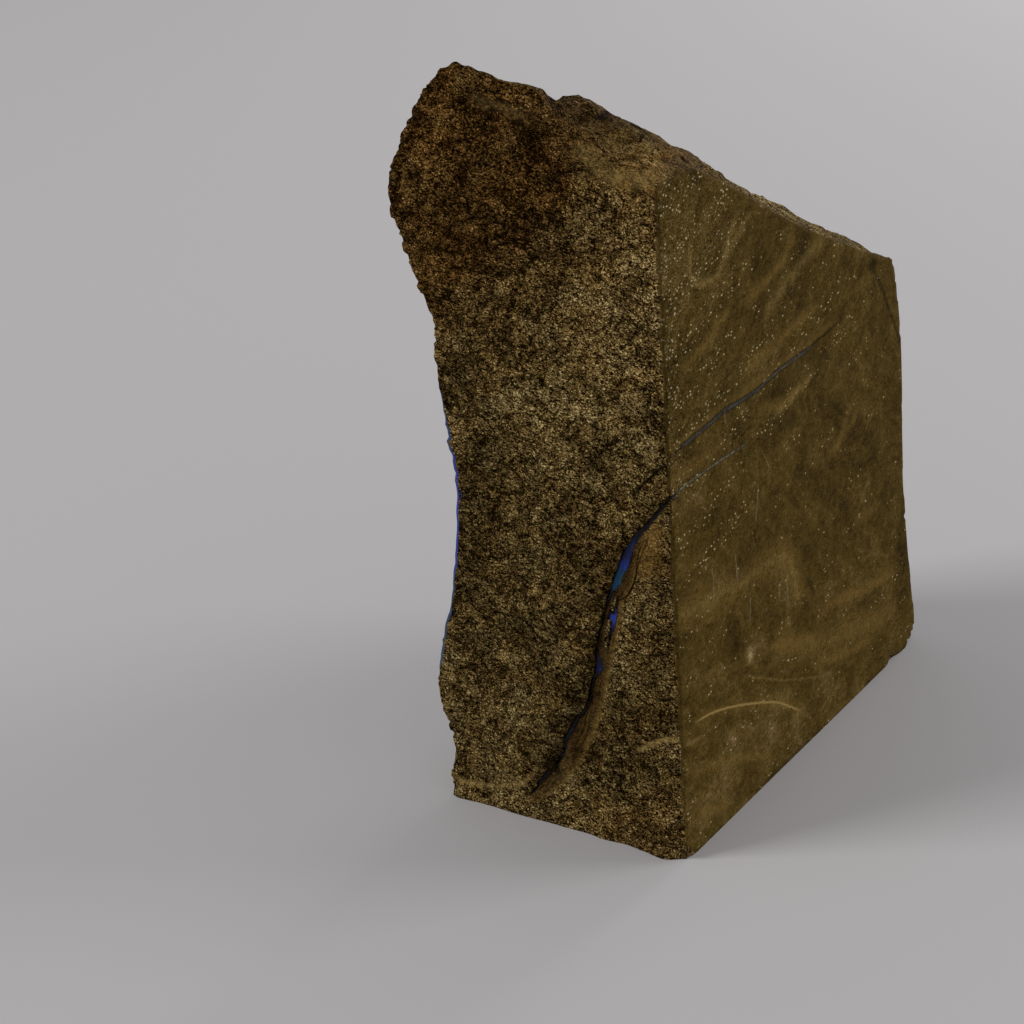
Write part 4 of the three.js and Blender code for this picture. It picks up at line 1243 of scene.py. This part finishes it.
def relief_mesh(mesh, s, material):
    """The block's mesh with the broken relief applied."""
    tree = relief_tree()

    def add_relief(o):
        modifier = o.modifiers.new("Broken rock relief", "NODES")
        modifier.node_group = tree
        set_inputs(modifier, tree, {
            "Lump Size": s.lump_size, "Lump Depth": s.lump_depth, "Grit Size": s.grit_size,
            "Grit Depth": s.grit_depth, "Crease Size": s.crease_size, "Crease Depth": s.crease_depth,
            "Seed": RELIEF_SEED, "Material": material,
        })

    return evaluated_mesh(mesh, add_relief)


def open_grooves(mesh):
    """Opens the fissure and sinks the rock under the opal layer."""
    n = normals(mesh)
    p = block_mm(coordinates(mesh))
    gap, half, strength = seam_gap(p)
    on_sawn = above_sawn(p) > ON_SAWN
    edge = np.where(on_sawn, 0.06, 0.09)
    cut = smooth(half + edge, half - edge, np.abs(gap)) * (strength > 0.02) * np.sqrt(strength)
    p -= n * (cut * np.where(on_sawn, 0.8, 1.9))[:, None]
    lip = smooth(1.2, 0.1, np.abs(gap) - half) * strength * (1 - cut) * (~on_sawn)
    p -= n * (0.16 * lip)[:, None]
    under = smooth(0.2, 2.4, border_distance(p[:, (1, 2)], SKIN_BORDER)) * smooth(-30.0, -36.0, p[:, 0])
    p[:, 0] += layer_depth(p[:, 1]) * under
    set_coordinates(mesh, np.clip(frame_m(p), CAD_BOX[0], CAD_BOX[1]))
    return gap, half, strength, on_sawn


def write_markings(mesh, gap, half, strength, on_sawn):
    """Writes the stains and the drawn lines into the mesh, for the material to read."""
    p = block_mm(coordinates(mesh))
    on_front = (~on_sawn) & (p[:, 1] < 12.0)
    for name, values in stains(p, normals(mesh)).items():
        set_attribute(mesh, name, values)
    set_attribute(mesh, "sawn", smooth(-0.3, -0.08, above_sawn(p)) * (p[:, 1] > -2))
    set_attribute(mesh, "seam", np.stack((np.minimum(gap, 30.0), strength, half), axis=1))
    beside = smooth(8.0, 6.0, np.abs(gap)) * on_front
    set_attribute(mesh, "band", smooth(52.0, 47.0, p[:, 2]) * smooth(1.0, 6.0, p[:, 2]) * beside)
    for name, points in FRONT_LINES.items():
        set_attribute(mesh, name, line_attribute(p[:, (0, 2)], on_front, points, 2.5))
    for name, points in SAWN_LINES.items():
        set_attribute(mesh, name, line_attribute(p[:, (1, 2)], on_sawn, points, 4.0))
    for name, lines in SAWN_SETS.items():
        fade = 0.8 if name == "scratches" else 4.0
        set_attribute(mesh, name, nearest_line_attribute(p[:, (1, 2)], on_sawn, lines, fade))


class OPAL_OT_block(bpy.types.Operator):
    """Make the ironstone block with its broken relief, open fissure and markings"""

    bl_idname = "opal.block"
    bl_label = "Make Ironstone Block"

    def execute(self, context):
        s = context.scene.opal_block
        material = ironstone_material(s)
        base = even_block(s.mesh_step)
        chip_edges(base)
        set_attribute(base, "relief", relief_mask(base))
        mesh = relief_mesh(base, s, material)
        faces = [tuple(f.vertices) for f in mesh.polygons]
        SURFACE["tree"] = BVHTree.FromPolygons([tuple(c) for c in coordinates(mesh)], faces)
        write_markings(mesh, *open_grooves(mesh))
        finish_piece("ironstone_block", mesh, material, "ironstone")
        return {"FINISHED"}


def surface_mm(place, direction, reach=0.03):
    """Where a ray through a place in millimetres meets the rock's surface, in millimetres too."""
    middle = Vector(frame_m(place))
    ray = Vector(direction)
    hit = SURFACE["tree"].ray_cast(middle - ray * reach, ray)[0]
    if hit is None:
        hit = SURFACE["tree"].find_nearest(middle)[0]
    return block_mm(hit)


def seam_ring(s, on_sawn, place, tangent, drift):
    """One ring of the fissure's opal: a shallow dip in front and a flat back."""
    a, z, half = place
    ta, tz = tangent
    if on_sawn:
        centre = np.array((SAWN_SPLAY * a - SAWN_LEAN * z, a, z))
        inward = -SAWN_NORMAL
        side = np.array((0.0, -tz, ta))
        deep, low, dip = 1.2, 0.04, 0.008
    else:
        centre = surface_mm((a, 0.0, z), (0.0, 1.0, 0.0))
        inward = np.array((0.0, 1.0, 0.0))
        side = np.array((-tz, 0.0, ta))
        deep, dip = s.seam_depth / MM, 0.08
        low = s.seam_below / MM + max(0.0, 0.45 - half) * 1.3 + 0.12 * drift
    reach = half + 0.25
    across = np.linspace(-1.0, 1.0, 7)
    ring = [centre + side * reach * u + inward * (low + dip * math.cos(u * math.pi / 2)) for u in across]
    return ring + [centre + side * reach * u + inward * deep for u in (0.9, -0.9)]


class OPAL_OT_seam(bpy.types.Operator):
    """Make the opal that lies in the fissure, along the front and the sawn side"""

    bl_idname = "opal.seam"
    bl_label = "Make Seam Opal"

    def execute(self, context):
        if "tree" not in SURFACE:
            raise RuntimeError("the ironstone block comes before the seam")
        s = context.scene.opal_opal
        bm = bmesh.new()
        part = bm.verts.layers.float.new("sawn_part")
        rng = np.random.default_rng(WANDER_SEED)
        for face, points in SEAMS:
            on_sawn = face == "sawn"
            line, _ = drawn(points)
            inside = line[:, 0] > 0.05 if on_sawn else line[:, 0] + SAWN_LEAN * line[:, 1] < -0.1
            line = line[inside]
            tangent = np.gradient(line[:, :2], axis=0)
            tangent /= np.linalg.norm(tangent, axis=1)[:, None]
            rows = []
            for place, way, drift in zip(line, tangent, evened(rng.random(len(line)))):
                row = [bm.verts.new(frame_m(q)) for q in seam_ring(s, on_sawn, place, way, drift)]
                for vert in row:
                    vert[part] = float(on_sawn)
                rows.append(row)
            for one, two in zip(rows, rows[1:]):
                for k in range(len(one)):
                    after = (k + 1) % len(one)
                    bm.faces.new((one[k], one[after], two[after], two[k]))
            bm.faces.new(rows[0])
            bm.faces.new(list(reversed(rows[-1])))
        bmesh.ops.recalc_face_normals(bm, faces=bm.faces)
        mesh = bpy.data.meshes.new("seam")
        bm.to_mesh(mesh)
        bm.free()
        finish_piece("seam_opal", mesh, seam_material(s), "opal_seam")
        return {"FINISHED"}


class OPAL_OT_skin(bpy.types.Operator):
    """Make the opal layer on the split side, whose edge shows as a blue rim at the front"""

    bl_idname = "opal.skin"
    bl_label = "Make Skin Opal"

    def execute(self, context):
        if "tree" not in SURFACE:
            raise RuntimeError("the ironstone block comes before the skin")
        s = context.scene.opal_opal
        step = s.skin_step / MM
        heights = np.arange(*SKIN_HEIGHTS, step)
        front_edge = []
        for z in heights:
            x_left = surface_mm((LEFT_OF_BLOCK, 2.0, z), (1.0, 0.0, 0.0))[0]
            front_edge.append(surface_mm((x_left + 0.5, 0.0, z), (0.0, 1.0, 0.0))[1])
        front_edge = evened(front_edge)
        columns = np.arange(0.0, SKIN_REACH, step)
        places = np.array([(front + c, z) for z, front in zip(heights, front_edge) for c in columns])
        inside = border_distance(places, SKIN_BORDER).reshape(len(heights), len(columns))
        bm = bmesh.new()
        rim_layer = bm.verts.layers.float.new("rim")
        grid = {}
        for i, z in enumerate(heights):
            for j, c in enumerate(columns):
                if inside[i, j] < -0.3:
                    continue
                y = front_edge[i] + 0.12 + c
                x = surface_mm((LEFT_OF_BLOCK, y, z), (1.0, 0.0, 0.0))[0]
                feather = float(smooth(-0.3, 0.9, inside[i, j]))
                outer = x + (1.0 - feather) * 0.35 - 0.02
                inner = x + float(layer_depth(y)) + 0.35
                a = bm.verts.new(frame_m((outer, y, z)))
                b = bm.verts.new(frame_m((inner, y, z)))
                a[rim_layer] = b[rim_layer] = float(smooth(1.3, 0.4, c))
                grid[i, j] = (a, b)
        for (i, j), (a, b) in grid.items():
            corners = [grid.get(k) for k in ((i, j), (i, j + 1), (i + 1, j + 1), (i + 1, j))]
            if None in corners:
                continue
            bm.faces.new([q[0] for q in corners])
            bm.faces.new([q[1] for q in reversed(corners)])
        pair = dict(grid.values())
        for edge in [e for e in bm.edges if len(e.link_faces) == 1]:
            a, b = edge.verts
            if a in pair and b in pair:
                bm.faces.new((a, b, pair[b], pair[a]))
        bmesh.ops.delete(bm, geom=[v for v in bm.verts if not v.link_faces], context="VERTS")
        bmesh.ops.recalc_face_normals(bm, faces=bm.faces)
        mesh = bpy.data.meshes.new("skin")
        bm.to_mesh(mesh)
        bm.free()
        material = skin_material(s, context.scene.opal_block)
        finish_piece("skin_opal", mesh, material, "opal_skin")
        return {"FINISHED"}


class OPAL_OT_stage(bpy.types.Operator):
    """Set the camera, the pale floor and the soft light"""

    bl_idname = "opal.stage"
    bl_label = "Set Stage"

    def execute(self, context):
        s = context.scene.opal_stage
        scene = context.scene
        data = bpy.data.cameras.new("camera")
        data.sensor_width = CAMERA_SENSOR
        data.lens = 0.5 * CAMERA_SENSOR / math.tan(math.radians(CAMERA_HALF_ANGLE))
        data.clip_start = 0.01
        camera = bpy.data.objects.new("camera", data)
        camera.location = Vector(CAMERA_PLACE) * MM
        camera.rotation_euler = [math.radians(turn) for turn in CAMERA_TURN]
        scene.collection.objects.link(camera)
        scene.camera = camera

        bm = bmesh.new()
        bmesh.ops.create_circle(bm, cap_ends=True, radius=FLOOR_RADIUS, segments=96)
        mesh = bpy.data.meshes.new("floor")
        bm.to_mesh(mesh)
        bm.free()
        floor = bpy.data.objects.new("floor", mesh)
        scene.collection.objects.link(floor)
        material, n, shader = new_material("Pale floor")
        n.put(shader, "Base Color", s.floor)
        n.put(shader, "Roughness", 0.7)
        n.put(shader, "Specular IOR Level", 0.2)
        mesh.materials.append(material)

        world = bpy.data.worlds.new("surround")
        world.use_nodes = True
        world.node_tree.nodes["Background"].inputs[0].default_value = (*s.world, 1.0)
        scene.world = world

        for name, (place, aim) in LIGHTS.items():
            light = bpy.data.lights.new(name, "AREA")
            light.shape = "RECTANGLE"
            light.size = light.size_y = getattr(s, name + "_size")
            light.energy = getattr(s, name)
            lamp = bpy.data.objects.new(name, light)
            lamp.location = place
            lamp.rotation_euler = (Vector(aim) - lamp.location).to_track_quat("-Z", "Y").to_euler()
            scene.collection.objects.link(lamp)
        scene.view_settings.view_transform = "Standard"
        return {"FINISHED"}


PANEL_BOXES = {
    "opal_block": ("opal.block",),
    "opal_opal": ("opal.seam", "opal.skin"),
    "opal_stage": ("opal.stage",),
}


class OPAL_PT_panel(bpy.types.Panel):
    """Lists the pieces of the boulder opal"""

    bl_idname = "OPAL_PT_panel"
    bl_label = "Boulder Opal"
    bl_space_type = "VIEW_3D"
    bl_region_type = "UI"
    bl_category = "Boulder Opal"

    def draw(self, context):
        for group, operators in PANEL_BOXES.items():
            box = self.layout.box()
            settings = getattr(context.scene, group)
            for name in settings.__annotations__:
                box.prop(settings, name)
            for operator in operators:
                box.operator(operator)


CLASSES = (
    BlockSettings, OpalSettings, StageSettings, OPAL_OT_block, OPAL_OT_seam, OPAL_OT_skin, OPAL_OT_stage,
    OPAL_PT_panel,
)


def register():
    for cls in CLASSES:
        bpy.utils.register_class(cls)
    bpy.types.Scene.opal_block = bpy.props.PointerProperty(type=BlockSettings)
    bpy.types.Scene.opal_opal = bpy.props.PointerProperty(type=OpalSettings)
    bpy.types.Scene.opal_stage = bpy.props.PointerProperty(type=StageSettings)


def unregister():
    for name in ("opal_block", "opal_opal", "opal_stage"):
        delattr(bpy.types.Scene, name)
    for cls in reversed(CLASSES):
        bpy.utils.unregister_class(cls)


def main():
    register()
    bpy.ops.opal.stage()
    bpy.ops.opal.block()
    bpy.ops.opal.seam()
    bpy.ops.opal.skin()
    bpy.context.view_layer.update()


if __name__ == "__main__":
    main()
